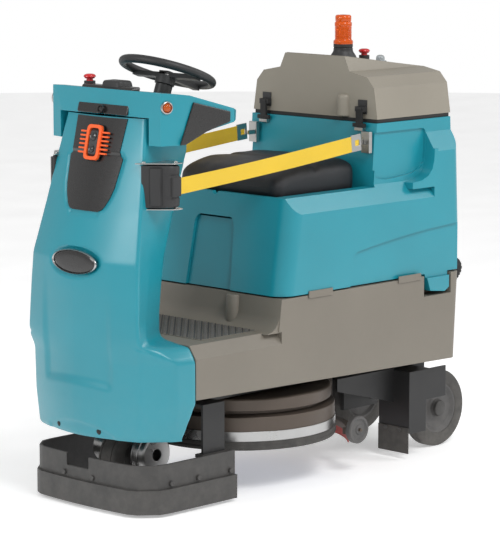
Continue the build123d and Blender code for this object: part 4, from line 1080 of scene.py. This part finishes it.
# ---------------------------------------------------------------- skirt, guards, deck and squeegee
def low_parts():
    notch = prism(rounded([(-73, 118), (25, 118), (25, 190), (-73, 190)], 6), "X", 700, 780)
    softened("front_skirt", 3.5, segments=3, cutters=[notch])
    for node, width in (("wheel_guards", 1.2), ("guard_flaps", 1.0), ("chassis_frame", 2.0),
                        ("brush_deck", 5.0), ("deck_band", 1.0), ("brush_motor", 2.0),
                        ("squeegee_frame", 1.2), ("squeegee_blades", 0.8), ("steer_fork", 2.0),
                        ("rear_axle", 1.0), ("battery_pack", 6.0)):
        softened(node, width, segments=2)
    softened("dome_bolts", 2.0, "black_plastic", segments=2)
    softened("drive_motor", 3.0, "band_alloy", segments=3)
    lip = turned([(297, 161), (302, 161), (303, 156), (301, 148), (303, 142), (300, 133.5), (296, 133.5),
                  (297, 161)], (80, 0, 0), "Z", 160)
    finish_piece("deck_skirt", lip, "deck", "rubber", None, ["deck_lip"], 35, [soft_edges(1, 2)])
    housing = turned([(18, 46), (52, 46), (58, 42), (62, 30), (66, 30), (66, 24), (62, 24), (62, 8), (68, 8),
                      (68, 2),
                      (30, 0), (18, 0), (18, 46)], (535, 57, 142), "Y", 72)
    finish_piece("drive_gearbox", housing, "drive_fork", "band_alloy", None, [], 30, [soft_edges(1.5, 2)])


def brush():
    """Disc with tufts of bristle round it in rings."""
    low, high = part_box("brush_disc")
    x, foot, top = (low.x + high.x) / 2 / MM, low.z / MM, high.z / MM
    plate = turned([(13, top), (40, top), (270, top), (272, top - 3), (270, top - 16), (13, top - 16),
                    (13, top)],
                   (x, 0, 0), "Z", 120)
    tufts = [plate]
    for radius in (110, 150, 190, 228, 258):
        count = int(radius / 6)
        for k in range(count):
            turn = math.tau * (k + 0.5 * (radius % 4)) / count
            tuft = bmesh.new()
            bmesh.ops.create_cone(tuft, cap_ends=True, segments=7, radius1=11 * MM, radius2=7 * MM,
                                  depth=(top - 15 - foot) * MM)
            place = (x + radius * math.cos(turn), radius * math.sin(turn), (foot + top - 15) / 2)
            bmesh.ops.translate(tuft, vec=Vector(place) * MM, verts=tuft.verts)
            tufts.append(tuft)
    finish_piece("brush_head", joined(*tufts), "brush", "bristle", None, ["brush_disc"], 40)


def drain_hose():
    """Corrugated hose along its route, with its collar and cap."""
    tail = -620
    route = [(tail - 14, 80, 632), (tail - 50, 80, 632), (tail - 84, 92, 632), (tail - 90, 160, 618),
             (tail - 88, 222, 600), (tail - 70, 216, 560), (tail - 36, 172, 500), (tail - 30, 165, 450),
             (tail - 30, 165, 400)]
    curve = bpy.data.curves.new("hose_route", "CURVE")
    curve.dimensions = "3D"
    curve.resolution_u = 16
    spline = curve.splines.new("NURBS")
    spline.points.add(len(route) - 1)
    for point, place in zip(spline.points, route):
        point.co = (*(Vector(place) * MM), 1)
    spline.order_u = 3
    spline.use_endpoint_u = True
    holder = bpy.data.objects.new("hose_route", curve)
    bpy.context.scene.collection.objects.link(holder)
    bpy.context.view_layer.update()
    line = bpy.data.meshes.new_from_object(holder.evaluated_get(bpy.context.evaluated_depsgraph_get()))
    points = [v.co.copy() for v in line.vertices]
    bpy.data.objects.remove(holder)
    lengths = [0.0]
    for a, b in zip(points, points[1:]):
        lengths.append(lengths[-1] + (b - a).length)
    rings = 150
    bm = bmesh.new()
    loops = []
    for k in range(rings + 1):
        distance = lengths[-1] * k / rings
        i = max(n for n in range(len(lengths) - 1) if lengths[n] <= distance)
        part = (distance - lengths[i]) / max(lengths[i + 1] - lengths[i], 1e-9)
        centre = points[i].lerp(points[i + 1], part)
        heading = (points[i + 1] - points[i]).normalized()
        frame_turn = heading.to_track_quat("Z", "Y").to_matrix()
        radius = (18.5 if k % 3 else 16.5) * MM
        verts = [bm.verts.new(centre + frame_turn @ Vector((radius * math.cos(a), radius * math.sin(a), 0)))
                 for a in (math.tau * n / 28 for n in range(28))]
        loops.append([bm.edges.new((verts[n - 1], verts[n])) for n in range(28)])
    for a, b in zip(loops, loops[1:]):
        bmesh.ops.bridge_loops(bm, edges=a + b)
    bmesh.ops.holes_fill(bm, edges=[e for e in bm.edges if e.is_boundary], sides=0)
    bmesh.ops.recalc_face_normals(bm, faces=bm.faces)
    collar = turned([(0, 0), (26, 0), (26, 9), (22, 13), (0, 13)], (tail - 1, 80, 632), "X", 40)
    for v in collar.verts:
        v.co.x = 2 * (tail - 1) * MM - v.co.x
    bmesh.ops.recalc_face_normals(collar, faces=collar.faces)
    cap = turned([(0, 0), (20, 0), (23, -3), (23, -14), (20, -16.5), (0, -16.5)],
                 (tail - 30, 165, 400), "Z", 40)
    finish_piece("drain_hose_skin", joined(bm, collar, cap), "machine", "rubber", None, ["drain_hose"], 60)


def small_parts():
    for node, width, material in (
        ("side_pods", 3.0, "black_gloss"), ("keeper_plates", 1.2, None),
        ("belt_tongue_left", 0.8, None), ("belt_tongue_right", 0.8, None), ("latch_mounts", 1.0, None),
        ("lid_latch_left", 2.2, None), ("lid_latch_right", 2.2, None), ("lid_hinges", 1.2, None),
        ("lid_seal", 1.5, None), ("seam_clips", 1.2, "grey_plastic"), ("pedal_bracket", 0.8, None),
        ("drive_pedal", 2.0, None), ("status_dome", 1.5, None),
    ):
        softened(node, width, material, segments=2)
    # Near-black band sunk into the seam between tank and base: painted shade in the joint.
    shade_band = prism([(-600, -292), (196, -292), (196, 292), (-600, 292)], "Z", 597, 604)
    hole = prism([(-570, -262), (166, -262), (166, 262), (-570, 262)], "Z", 590, 610)
    finish_piece("seam_shade_band", carved(shade_band, [hole]), "machine", "rubber", "dark_gap")


place_camera()
studio()
shroud_tree = front_shroud()
sensor_panel(shroud_tree)
sensor(shroud_tree)
badge(shroud_tree)
console()
steering()
tanks()
seat()
belts()
running_gear()
beacon()
low_parts()
brush()
drain_hose()
small_parts()

# What is still a CAD node gets its finish directly.
for node_name, node in frame["nodes"].items():
    if node.data.materials:
        for slot_index in range(len(node.material_slots)):
            node.material_slots[slot_index].material = MATERIALS[SLOTS[node_name]]
    else:
        node.data.materials.append(MATERIALS[SLOTS[node_name]])
